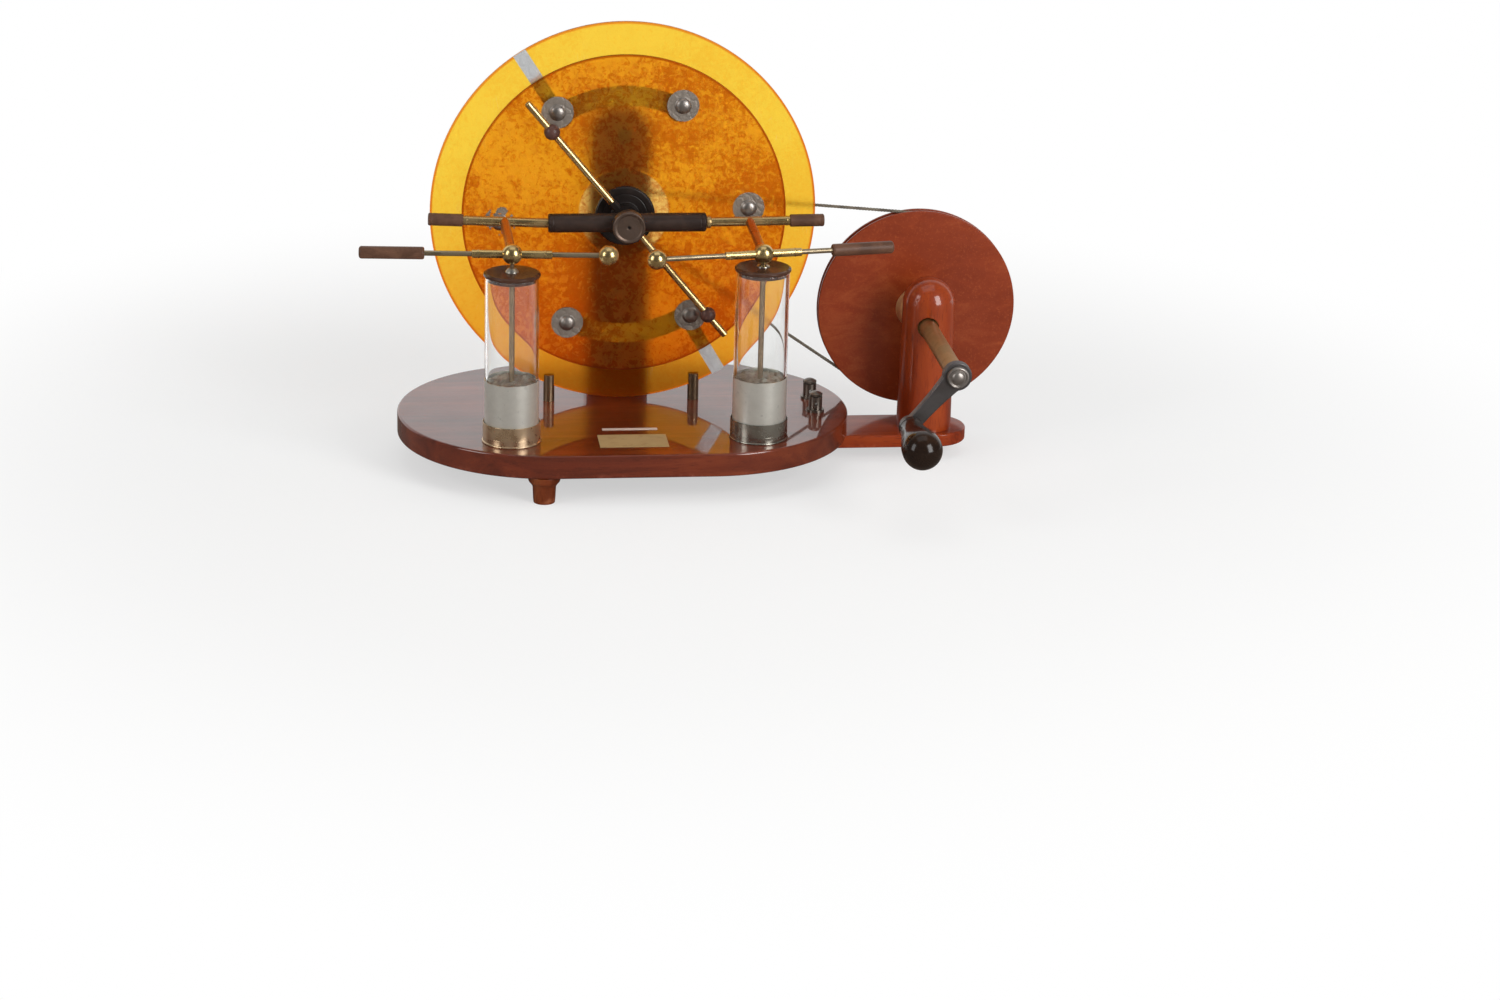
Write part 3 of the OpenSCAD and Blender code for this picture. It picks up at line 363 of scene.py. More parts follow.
@dataclass(frozen=True)
class PolishedWood(Finish):
    """French-polished hardwood with pores, figure and worn low edges."""

    dark: Colour
    mid: Colour
    light: Colour
    grain: Grain
    streak: float = 0.09
    polish: float = 0.9
    polish_blur: float = 0.1
    polish_ior: float = 1.4
    speckled: float = 0.2
    worn_below: float | None = None

    def draw(self, graph: Graph) -> None:
        """Figure, pores, smudges and wear."""
        along = graph.coords(self.grain.stretch(self.streak))
        plain = graph.coords()
        figure = graph.noise(along, 46, 6, 0.6, 0.9)
        ribbon = graph.noise(along, 14, 2, 0.5, 0.4)
        pores = graph.noise(along, 900, 2, 0.5).step(0.57, 0.68)
        speckle = graph.noise(plain, 620, 2, 0.6).step(0.55, 0.72)
        tone = graph.ramp(
            figure * 0.62 + ribbon * 0.38, [(0.34, self.dark), (0.5, self.mid), (0.66, self.light)]
        )
        tone = graph.mix(pores * 0.5, tone, self.dark)
        tone = graph.mix(speckle * self.speckled, tone, self.light)
        smudge = graph.noise(plain, 21, 3, 0.6)
        scuff = graph.noise(plain, 75, 6, 0.7).step(0.62, 0.74)
        wear = scuff * 0.06
        if self.worn_below is not None:
            low = 1 - graph.axis(plain, 2).step(self.worn_below, self.worn_below + 0.006)
            wear = wear + low * graph.noise(plain, 52, 5, 0.7).step(0.5, 0.68) * 0.5
        pale = tuple(min(1.0, 1.3 * c + 0.03) for c in self.light)
        tone = graph.mix(wear, tone, pale)
        graph.surface({
            "Base Color": tone,
            "Roughness": 0.34 + smudge * 0.2 + scuff * 0.12,
            "Specular IOR Level": 0.15,
            "Coat Weight": self.polish - wear * 0.5,
            "Coat Roughness": self.polish_blur,
            "Coat IOR": self.polish_ior,
            "Normal": graph.bump(pores * -0.6 + speckle * 0.2, 0.16, 0.0003),
        })


@dataclass(frozen=True)
class AmberGlass(Finish):
    """Shellac-varnished glass: tinted, clouded, with flecks, scratches, a darker rim and painted reflection below.
    """

    tint: Colour
    deep: Colour
    rim: Colour
    rim_radius: float
    mottle: float
    pebble: float
    cloud: float
    # Tint of the painted reflection of the red base in the lower part of the glass.
    low_tint: Colour

    def draw(self, graph: Graph) -> None:
        """Mottled varnish over clear glass."""
        place = graph.coords(centre=DATUM.origin)
        drift = graph.noise(place, 9, 3, 0.5)
        patches = graph.noise(place, 125, 5, 0.66, 1.4)
        flecks = graph.noise(place, 320, 4, 0.6, 0.8)
        leopard = (patches * 0.68 + flecks * 0.32 + (drift - 0.5) * 0.5).step(0.46, 0.55)
        fine = graph.noise(place, 330, 4, 0.75)
        amount = leopard * self.mottle + (fine - 0.5) * self.pebble
        tone = graph.mix(amount, self.tint, self.deep)
        # Painted reflection of the red base: the lower part of the glass is tinted more orange.
        low = 1 - graph.axis(place, 2).step(-0.19, 0.07)
        tone = graph.mix(low, tone, graph.mix(1.0, tone, self.low_tint, "MULTIPLY"))
        scratch = graph.cells(graph.coords((1, 1, 0.05), DATUM.origin, (0, 34, 0)), 240)
        scored = (1 - scratch.step(0.0, 0.02)) * graph.noise(place, 30, 2).step(0.56, 0.66)
        tone = graph.mix(scored * 0.22, tone, (0.98, 0.86, 0.55))
        reach = graph.length(graph.coords((1, 0, 1), DATUM.origin))
        edge = reach.step((self.rim_radius - 2.8) * MM, (self.rim_radius - 1.1) * MM)
        tone = graph.mix(edge, tone, self.rim)
        graph.surface({
            "Base Color": tone,
            "Roughness": self.cloud + (fine - 0.5) * 0.10 + leopard * 0.04,
            "Transmission Weight": 0.96,
            "IOR": 1.36,
            "Specular Tint": rgba((1.0, 0.45, 0.08)),
            "Normal": graph.bump(fine + flecks * 0.5, 0.35, 0.0005),
        })


@dataclass(frozen=True)
class ClearGlass(Finish):
    """Blown glass with a faint tint and drawn lines."""

    tint: Colour

    def draw(self, graph: Graph) -> None:
        """Clear with slow waves and a little dust."""
        streak = graph.noise(graph.coords((1, 1, 0.06)), 60, 3)
        dust = graph.noise(graph.coords(), 900, 3, 0.7).step(0.6, 0.8)
        graph.surface({
            "Base Color": graph.mix(dust * 0.25, self.tint, (0.86, 0.86, 0.84)),
            "Roughness": 0.01 + dust * 0.05,
            "Transmission Weight": 1.0,
            "IOR": 1.18,
            "Coat Weight": 0.55,
            "Coat Roughness": 0.02,
            "Normal": graph.bump(streak, 0.02, 0.0004),
        })


@dataclass(frozen=True)
class AgedMetal(Finish):
    """Metal with tarnish in patches, handling marks and fine drawn lines."""

    bright: Colour
    tarnish: Colour
    aged: float
    gloss: float
    spots: float = 0.25
    drawn: Grain = Grain.ALONG_Y

    def draw(self, graph: Graph) -> None:
        """Tarnish, spots and hairline scratches."""
        plain = graph.coords()
        patch = graph.noise(plain, 60, 3, 0.5, 0.6)
        spot = graph.noise(plain, 560, 3, 0.6).step(0.6, 0.72)
        along = graph.coords(self.drawn.stretch(0.05))
        hair = graph.noise(along, 1700, 2)
        streak = graph.noise(along, 260, 3, 0.5)
        mask = (patch * 0.85 + streak * 0.15).step(0.50 - self.aged * 0.36, 0.92 - self.aged * 0.36)
        tone = graph.mix(mask * 0.55, self.bright, self.tarnish)
        tone = graph.mix(spot * self.spots, tone, tuple(c * 0.45 for c in self.tarnish))
        graph.surface({
            "Base Color": tone,
            "Metallic": 1.0 - mask * 0.25 - spot * self.spots * 0.6,
            "Roughness": self.gloss + mask * 0.12 + (hair - 0.5) * 0.06 + spot * 0.1,
            "Normal": graph.bump(hair * 0.3 + spot * -0.4, 0.03, 0.0001),
        })


@dataclass(frozen=True)
class HardRubber(Finish):
    """Ebonite that has browned and dulled with light."""

    fresh: Colour
    faded: Colour
    shine: float
    fade: float = 0.5

    def draw(self, graph: Graph) -> None:
        """Faded skin, turning marks and fine pits."""
        plain = graph.coords()
        bloom = graph.noise(plain, 58, 5, 0.6, 0.5)
        turned = graph.noise(graph.coords((1, 0.2, 1)), 950, 2)
        pits = graph.noise(plain, 1300, 2).step(0.62, 0.74)
        amount = bloom.step(0.3 + 0.2 * (1 - self.fade), 0.75) * self.fade + turned * 0.12
        tone = graph.mix(amount, self.fresh, self.faded)
        tone = graph.mix(pits * 0.4, tone, tuple(c * 0.4 for c in self.fresh))
        graph.surface({
            "Base Color": tone,
            "Roughness": self.shine + bloom * 0.16 + pits * 0.1,
            "Specular IOR Level": 0.3,
            "Normal": graph.bump(turned * 0.6 + pits * -0.6, 0.12, 0.0002),
        })


@dataclass(frozen=True)
class Tinfoil(Finish):
    """Hand-smoothed foil with creases and dull spots."""

    bright: Colour
    dull: Colour
    crease: float
    gloss: float
    # Radius in millimetres within which painted shade of the disc darkens the foil; 0 for none.
    browned_within: float = 0

    def draw(self, graph: Graph) -> None:
        """Creases at two sizes and dull oxide."""
        plain = graph.coords()
        wide = graph.cells(plain, 130).step(0.0, 0.22)
        fine = graph.noise(plain, 420, 5, 0.65, 1.2)
        oxide = graph.noise(plain, 65, 5, 0.65)
        grime = graph.noise(plain, 150, 3, 0.6).step(0.62, 0.74)
        tone = graph.mix(oxide.step(0.35, 0.7) * 0.75, self.bright, self.dull)
        tone = graph.mix(grime * 0.35, tone, tuple(c * 0.5 for c in self.dull))
        # Painted shade and amber tint of the disc in front: within that radius the foil turns dark olive.
        if self.browned_within:
            reach = graph.length(graph.coords((1, 0, 1), DATUM.origin))
            under_disc = 1 - reach.step((self.browned_within - 2) * MM, (self.browned_within + 2) * MM)
            tone = graph.mix(under_disc * 0.9, tone, (0.46, 0.66, 0.16))
        graph.surface({
            "Base Color": tone,
            "Metallic": 0.95 - oxide * 0.3,
            "Roughness": self.gloss + fine * (0.08 + self.crease * 0.5) + grime * 0.1,
            "Normal": graph.bump(wide * 0.7 + fine, self.crease, 0.0008),
        })


@dataclass(frozen=True)
class AgedPaper(Finish):
    """Bare paper or card with foxing and a rubbed face."""

    clean: Colour
    stain: Colour

    def draw(self, graph: Graph) -> None:
        """Fibres and stains."""
        plain = graph.coords()
        fibre = graph.noise(graph.coords((1, 0.35, 1)), 2100, 3, 0.7)
        fox = graph.noise(plain, 130, 5, 0.7).step(0.48, 0.72)
        rub = graph.noise(plain, 38, 3).step(0.4, 0.7)
        tone = graph.mix(fox * 0.55 + rub * 0.18, self.clean, self.stain)
        tone = graph.mix(fibre * 0.12, tone, (0.42, 0.32, 0.18))
        graph.surface({
            "Base Color": tone,
            "Roughness": 0.62 + fibre * 0.2,
            "Normal": graph.bump(fibre + fox * 0.3, 0.25, 0.0002),
        })


@dataclass(frozen=True)
class TwistedCord(Finish):
    """Waxed fibre cord."""

    fibre: Colour
    grime: Colour

    def draw(self, graph: Graph) -> None:
        """Fibres and handling grime."""
        plain = graph.coords()
        strand = graph.noise(plain, 2600, 3, 0.7)
        grey = graph.noise(plain, 90, 4, 0.6)
        graph.surface({
            "Base Color": graph.mix(grey.step(0.35, 0.7) * 0.7 + strand * 0.25, self.fibre, self.grime),
            "Roughness": 0.55 + strand * 0.3,
            "Normal": graph.bump(strand, 0.4, 0.0003),
        })


MAHOGANY = ((0.062, 0.008, 0.002), (0.130, 0.019, 0.005), (0.205, 0.037, 0.010))
WHEEL_WOOD = ((0.200, 0.024, 0.003), (0.240, 0.032, 0.005), (0.340, 0.066, 0.015))
RED_WOOD = ((0.090, 0.008, 0.001), (0.235, 0.027, 0.003), (0.330, 0.050, 0.006))
FOOT_WOOD = ((0.060, 0.009, 0.001), (0.150, 0.028, 0.006), (0.270, 0.075, 0.020))


class Palette:
    """The machine's finishes."""

    base = PolishedWood(
        "mahogany_base", "mahogany", *MAHOGANY, Grain.ALONG_X, polish=1.0, polish_blur=0.04, polish_ior=1.6,
        worn_below=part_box("base_board")[0].z,
    )
    upright = PolishedWood("mahogany_upright", "mahogany", *MAHOGANY, Grain.ALONG_Z)
    wheel = PolishedWood(
        "mahogany_wheel", "mahogany", *WHEEL_WOOD, Grain.ALONG_X, streak=0.45, polish=0.5, polish_blur=0.32,
        speckled=0.6,
    )
    column = PolishedWood("red_wood_column", "red_wood", *RED_WOOD, Grain.ALONG_Z, polish=1.0, polish_ior=1.45)
    plank = PolishedWood(
        "red_wood_plank", "red_wood", *RED_WOOD, Grain.ALONG_X, polish=0.5, worn_below=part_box("crank_plank")[0].z
    )
    feet = PolishedWood(
        "red_wood_feet", "red_wood", *FOOT_WOOD, Grain.ALONG_Z, polish=0.5, worn_below=0.003
    )
    # The last colour of each glass tints its lower part: a painted reflection of the red base.
    plate = AmberGlass(
        "amber_plate", "amber_plate", (0.965, 0.640, 0.055), (0.900, 0.440, 0.022), (0.78, 0.18, 0.010),
        Extent.of("fixed_plate").size.x / 2, 0.4, 1.8, 0.36, (0.97, 0.57, 0.38),
    )
    disc = AmberGlass(
        "amber_disc", "amber_disc", (0.930, 0.560, 0.130), (0.620, 0.215, 0.035), (0.45, 0.11, 0.02),
        Extent.of("rotating_disc").size.x / 2, 0.95, 0.7, 0.30, (0.97, 0.82, 0.66),
    )
    clear = ClearGlass("jar_glass", "clear_glass", (0.985, 0.990, 0.985))
    brass = AgedMetal("polished_brass", "brass", (0.680, 0.500, 0.225), (0.400, 0.270, 0.110), 0.30, 0.24, 0.15)
    rod_brass = AgedMetal(
        "handled_brass", "brass", (0.540, 0.385, 0.175), (0.310, 0.195, 0.085), 0.5, 0.22, 0.15, Grain.ALONG_X
    )
    boss = AgedMetal("boss_brass", "brass", (1.000, 0.790, 0.420), (0.620, 0.440, 0.200), 0.3, 0.42, 0.1)
    copper = AgedMetal("coppered_brass", "brass", (0.600, 0.230, 0.060), (0.330, 0.110, 0.030), 0.5, 0.26)
    brown_brass = AgedMetal(
        "tarnished_brass", "aged_brass", (0.480, 0.300, 0.115), (0.210, 0.110, 0.038), 0.55, 0.32, 0.15
    )
    peg = AgedMetal("peg_brass", "aged_brass", (0.260, 0.180, 0.110), (0.120, 0.075, 0.045), 0.5, 0.34)
    rod = AgedMetal(
        "grey_rod", "steel", (0.420, 0.340, 0.220), (0.180, 0.130, 0.080), 0.6, 0.28, 0.35, Grain.ALONG_X
    )
    dark_steel = AgedMetal("black_steel", "steel", (0.150, 0.140, 0.138), (0.062, 0.055, 0.053), 0.5, 0.38, 0.35)
    nickel = AgedMetal("worn_nickel", "nickel", (0.520, 0.490, 0.430), (0.240, 0.200, 0.160), 0.5, 0.24, 0.3)
    post = AgedMetal("terminal_metal", "nickel", (0.230, 0.200, 0.170), (0.085, 0.066, 0.055), 0.55, 0.26, 0.3)
    pewter = AgedMetal("pewter_studs", "nickel", (0.380, 0.345, 0.315), (0.170, 0.148, 0.132), 0.5, 0.36, 0.3)
    dark_nickel = AgedMetal(
        "dark_nickel_cup", "steel", (0.400, 0.380, 0.325), (0.170, 0.155, 0.130), 0.45, 0.2, 0.15
    )
    gold_cup = AgedMetal("gilt_cup", "brass", (0.760, 0.550, 0.340), (0.440, 0.330, 0.230), 0.6, 0.24, 0.15)
    knob = AgedMetal("bronze_knob", "ebonite", (0.190, 0.135, 0.105), (0.070, 0.045, 0.036), 0.55, 0.36, 0.3)
    ebonite = HardRubber("brown_ebonite", "ebonite", (0.075, 0.033, 0.018), (0.165, 0.075, 0.042), 0.36, 0.7)
    lid = HardRubber("lid_ebonite", "ebonite", (0.050, 0.021, 0.013), (0.105, 0.048, 0.028), 0.1, 0.5)
    ball = HardRubber("ball_ebonite", "ebonite", (0.070, 0.030, 0.022), (0.150, 0.072, 0.058), 0.26, 0.6)
    black = HardRubber("hub_ebonite", "black_ebonite", (0.012, 0.009, 0.008), (0.034, 0.022, 0.018), 0.24, 0.5)
    bar = HardRubber("crossbar_ebonite", "black_ebonite", (0.022, 0.012, 0.009), (0.052, 0.027, 0.018), 0.32, 0.6)
    handle = HardRubber(
        "handle_ebonite", "black_ebonite", (0.012, 0.007, 0.005), (0.060, 0.026, 0.012), 0.06, 0.3
    )
    foil = Tinfoil("jar_foil", "tinfoil", (0.860, 0.850, 0.780), (0.720, 0.710, 0.640), 0.03, 0.33)
    carrier = Tinfoil("carrier_foil", "tinfoil", (0.420, 0.370, 0.320), (0.270, 0.225, 0.190), 0.3, 0.3)
    # 150 is the radius of the painted shade and amber tint under the disc.
    strip = Tinfoil("inductor_foil", "tinfoil", (0.900, 0.940, 0.960), (0.760, 0.790, 0.810), 0.12, 0.4, 150)
    leaf = Tinfoil("leaf_fill", "tinfoil", (0.360, 0.345, 0.290), (0.130, 0.120, 0.095), 0.6, 0.24)
    card = AgedPaper("bare_card", "card", (0.400, 0.265, 0.110), (0.270, 0.155, 0.055))
    paper = AgedPaper("bare_paper", "white_paper", (0.660, 0.540, 0.470), (0.480, 0.340, 0.270))
    cord = TwistedCord("belt_cord", "cord", (0.200, 0.170, 0.125), (0.070, 0.058, 0.045))


class Piece:
    """One visible piece: meshes that are shaped, placed and dressed."""

    def __init__(self, name: str) -> None:
        """Starts an empty mesh."""
        self.name = name
        self.mesh = bmesh.new()

    @staticmethod
    def round_edges(mesh: bmesh.types.BMesh, edges: Sequence, width: float, segments: int) -> None:
        """Bevels edges round; the width is in millimetres."""
        bmesh.ops.bevel(
            mesh, geom=list(edges), offset=width * MM, offset_type="OFFSET", segments=segments, profile=0.5,
            affect="EDGES", clamp_overlap=True, material=-1,
        )

    @classmethod
    def soften(cls, mesh: bmesh.types.BMesh, width: float, segments: int = 2, sharp: float = 30) -> None:
        """Rounds the sharp edges of a mesh.

        Args:
            mesh: The mesh to work on.
            width: Bevel in millimetres.
            segments: Number of facets across a bevel.
            sharp: Least angle, in degrees, of a sharp edge.
        """
        least = math.radians(sharp)
        edges = [e for e in mesh.edges if len(e.link_faces) == 2 and e.calc_face_angle(0) > least]
        cls.round_edges(mesh, edges, width, segments)

    @staticmethod
    def lathe(profile: Profile, steps: int = 64, closed: bool = False) -> bmesh.types.BMesh:
        """Spins a profile of radius and height about +Z.

        Args:
            profile: Points in millimetres.
            steps: Facets round the axis.
            closed: Whether the last point joins the first, as in a ring.

        Returns:
            The spun mesh.
        """
        mesh = bmesh.new()
        verts = [mesh.verts.new((r * MM, 0, h * MM)) for r, h in profile]
        edges = [mesh.edges.new(pair) for pair in zip(verts, verts[1:])]
        if closed:
            edges.append(mesh.edges.new((verts[-1], verts[0])))
        bmesh.ops.spin(
            mesh, geom=verts + edges, cent=(0, 0, 0), axis=(0, 0, 1), dvec=(0, 0, 0), angle=math.tau, steps=steps,
            use_merge=True, use_normal_flip=False, use_duplicate=False,
        )
        bmesh.ops.remove_doubles(mesh, verts=mesh.verts, dist=1e-7)
        bmesh.ops.recalc_face_normals(mesh, faces=mesh.faces)
        return mesh

    @staticmethod
    def thicken(mesh: bmesh.types.BMesh, thick: float) -> None:
        """Extrudes a flat mesh upward by some millimetres."""
        grown = bmesh.ops.extrude_face_region(mesh, geom=mesh.faces[:])
        raised = [v for v in grown["geom"] if isinstance(v, bmesh.types.BMVert)]
        bmesh.ops.translate(mesh, verts=raised, vec=(0, 0, thick * MM))
        bmesh.ops.recalc_face_normals(mesh, faces=mesh.faces)

    @classmethod
    def slab(cls, outline: Profile, thick: float) -> bmesh.types.BMesh:
        """Extrudes a flat outline upward; sizes are in millimetres."""
        mesh = bmesh.new()
        mesh.faces.new([mesh.verts.new((x * MM, y * MM, 0)) for x, y in outline])
        cls.thicken(mesh, thick)
        return mesh

    def take(self, mesh: bmesh.types.BMesh, at: Vector | None = None, along: Vector | None = None) -> "Piece":
        """Adds a shaped mesh, its +Z turned to a direction and its origin moved to a place."""
        turn = UP.rotation_difference(along or UP).to_matrix().to_4x4()
        mesh.transform(Matrix.Translation(at or Vector()) @ turn)
        held = bpy.data.meshes.new("held")
        mesh.to_mesh(held)
        mesh.free()
        self.mesh.from_mesh(held)
        bpy.data.meshes.remove(held)
        return self

    def turn(
        self, profile: Profile, at: Vector, along: Vector, soft: float = 0, steps: int = 64, closed: bool = False
    ) -> "Piece":
        """Adds a turned shape.

        Args:
            profile: Radius and height pairs in millimetres.
            at: Place of the profile's origin.
            along: Direction of the axis.
            soft: Bevel of its sharp rings in millimetres.
            steps: Facets round the axis.
            closed: Whether the profile is a ring's section.

        Returns:
            The piece.
        """
        mesh = self.lathe(profile, steps, closed)
        if soft:
            self.soften(mesh, soft)
        return self.take(mesh, at, along)

    def done(self, finish: Finish, body: str, *nodes: str, flat_below: float = 35) -> bpy.types.Object:
        """Makes the object, dresses it and lets it ride.

        Args:
            finish: The surface finish.
            body: Body that it rides on.
            nodes: CAD nodes that it stands for.
            flat_below: Angle in degrees over which an edge stays sharp.

        Returns:
            The object.
        """
        mesh = bpy.data.meshes.new(self.name)
        self.mesh.to_mesh(mesh)
        self.mesh.free()
        mesh.shade_smooth()
        mesh.set_sharp_from_angle(angle=math.radians(flat_below))
        made = bpy.data.objects.new(self.name, mesh)
        bpy.context.scene.collection.objects.link(made)
        mesh.materials.append(finish.material())
        weigh = made.modifiers.new("even_faces", "WEIGHTED_NORMAL")
        weigh.mode, weigh.keep_sharp = "FACE_AREA", True
        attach(made, body)
        if nodes:
            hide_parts(*nodes)
        LOG.info("%s: %d faces, rides on %s", self.name, len(mesh.polygons), body)
        return made


def dress(finish: Finish, *nodes: str) -> None:
    """Gives CAD nodes a finish."""
    for name in nodes:
        mesh = frame["nodes"][name].data
        mesh.materials.clear()
        mesh.materials.append(finish.material())
        LOG.info("%s: dressed in %s", name, finish.name)


@dataclass
class Base:
    """Base board, plank, feet, screws, column and upright."""

    board: Extent = Extent.of("base_board")
    plank: Extent = Extent.of("crank_plank")
    post: Extent = Extent.of("rear_upright")
    column: Extent = Extent.of("wheel_column")
    foot_radius: float = 15
    foot_x: float = -83
    plank_screws: tuple[float, float] = (16, 56)

    def boards(self) -> None:
        """Round-ended board with softened edges."""
        radius = self.board.size.y / 2 * MM
        shift = self.board.size.x / 2 * MM - radius
        mesh = bmesh.new()
        half_step = Matrix.Rotation(math.tau / 384, 4, "Z")
        bmesh.ops.create_circle(mesh, cap_ends=True, segments=192, radius=radius, matrix=half_step)
        for sign in (-1, 1):
            half = [v for v in mesh.verts if v.co.x * sign > 0]
            bmesh.ops.translate(mesh, verts=half, vec=(sign * shift, 0, 0))
        Piece.thicken(mesh, self.board.size.z)
        Piece.soften(mesh, 2.2, 4, 60)
        piece = Piece("base_board_polished")
        piece.take(mesh, DATUM.at(self.board.middle.x, self.board.middle.y, self.board.low.z))
        piece.done(Palette.base, "frame", "base_board", flat_below=50)

    @staticmethod
    def rounded_block(box: Extent, corner: Vector, across: Vector, radius: float) -> bmesh.types.BMesh:
        """Block with the two corners on one side rounded off.

        Args:
            box: The block's box.
            corner: Direction of the rounded side.
            across: Direction of the rounded edges.
            radius: Radius of the corners in millimetres.

        Returns:
            The block about its own middle.
        """
        mesh = bmesh.new()
        bmesh.ops.create_cube(mesh, size=1, matrix=Matrix.Diagonal((*(box.size * MM), 1)))
        edges = [
            e for e in mesh.edges
            if all(v.co.dot(corner) > 0 for v in e.verts)
            and abs((e.verts[0].co - e.verts[1].co).dot(across)) > 1e-6
        ]
        Piece.round_edges(mesh, edges, radius * 0.998, 28)
        Piece.soften(mesh, 1.6, 3, 60)
        return mesh

    def foot_profile(self, height: float) -> list[Point]:
        """Lip, cove and tapered shank of a foot, from its top down."""
        lip, waist, rise = self.foot_radius, self.foot_radius * 0.71, height * 0.2
        bend, steps = lip - waist - 0.8, 8
        cove = [
            (waist + bend * (1 - math.sin(math.pi / 2 * i / steps)), rise + 0.5 + height * 0.24 * i / steps)
            for i in range(steps + 1)
        ]
        shank = [(waist - 0.2, height * 0.62), (waist - 0.5, height * 0.86), (waist - 0.9, height)]
        rim = [(lip - 0.1, 0), (lip, 0.8), (lip - 0.4, rise - 0.6), (lip - 0.8, rise)]
        return [(0, 0), *rim, *cove, *shank, (0, height)]

    def legs(self) -> None:
        """Three turned feet, which reach down to the floor."""
        piece = Piece("turned_feet")
        floor = -DATUM.origin.z / MM
        inset = self.foot_radius
        rows = (self.board.low.y + inset, self.board.high.y - inset)
        places = [(self.foot_x, y, self.board) for y in rows]
        places.append((self.plank.high.x - self.plank.size.y / 2, self.plank.middle.y, self.plank))
        for x, y, above in places:
            piece.turn(self.foot_profile(above.low.z - floor), DATUM.at(x, y, above.low.z), DOWN, 0.5, 48)
        piece.done(Palette.feet, "frame", "feet")

    def fasteners(self) -> None:
        """Slotted screw heads, just proud of the wood."""
        piece = Piece("slotted_screws")
        quarter = self.post.size.x / 4
        places = [(sign * quarter, self.post.middle.y, self.board.low.z) for sign in (-1, 1)]
        places += [(self.plank.low.x + x, self.plank.middle.y, self.plank.low.z) for x in self.plank_screws]
        places.append((self.column.middle.x, self.plank.middle.y, self.plank.low.z))
        for place in places:
            head = Piece.lathe([(0, -0.2), (4.0, -0.2), (4.4, 0.2), (2.2, 3.0), (2.2, 12), (0, 12)], 32)
            bottoms = [f for f in head.faces if f.normal.z < -0.9]
            slot = [f for f in bottoms if abs(f.calc_center_median().x) < 0.0016]
            bmesh.ops.inset_region(head, faces=slot, thickness=0.0003, depth=-0.0007)
            piece.take(head, DATUM.at(*place))
        piece.done(Palette.dark_steel, "frame", "base_screws")

    def build(self) -> None:
        """Makes and dresses the woodwork."""
        self.boards()
        plank = Piece("crank_plank_polished")
        plank.take(
            self.rounded_block(self.plank, RIGHTWARD, UP, self.plank.size.y / 2), DATUM.at(*self.plank.middle)
        )
        plank.done(Palette.plank, "frame", "crank_plank", flat_below=50)
        post = Piece("rear_upright_polished")
        post.take(self.rounded_block(self.post, UP, BACK, self.post.size.x / 2), DATUM.at(*self.post.middle))
        post.done(Palette.upright, "frame", "rear_upright", flat_below=50)
        self.legs()
        self.fasteners()
        for finish, node in (
            (Palette.column, "wheel_column"), (Palette.peg, "plate_pegs"), (Palette.dark_steel, "spindle"),
            (Palette.black, "plate_stay"), (Palette.brown_brass, "column_bushes"), (Palette.card, "name_plate"),
            (Palette.paper, "paper_strip"),
        ):
            dress(finish, node)


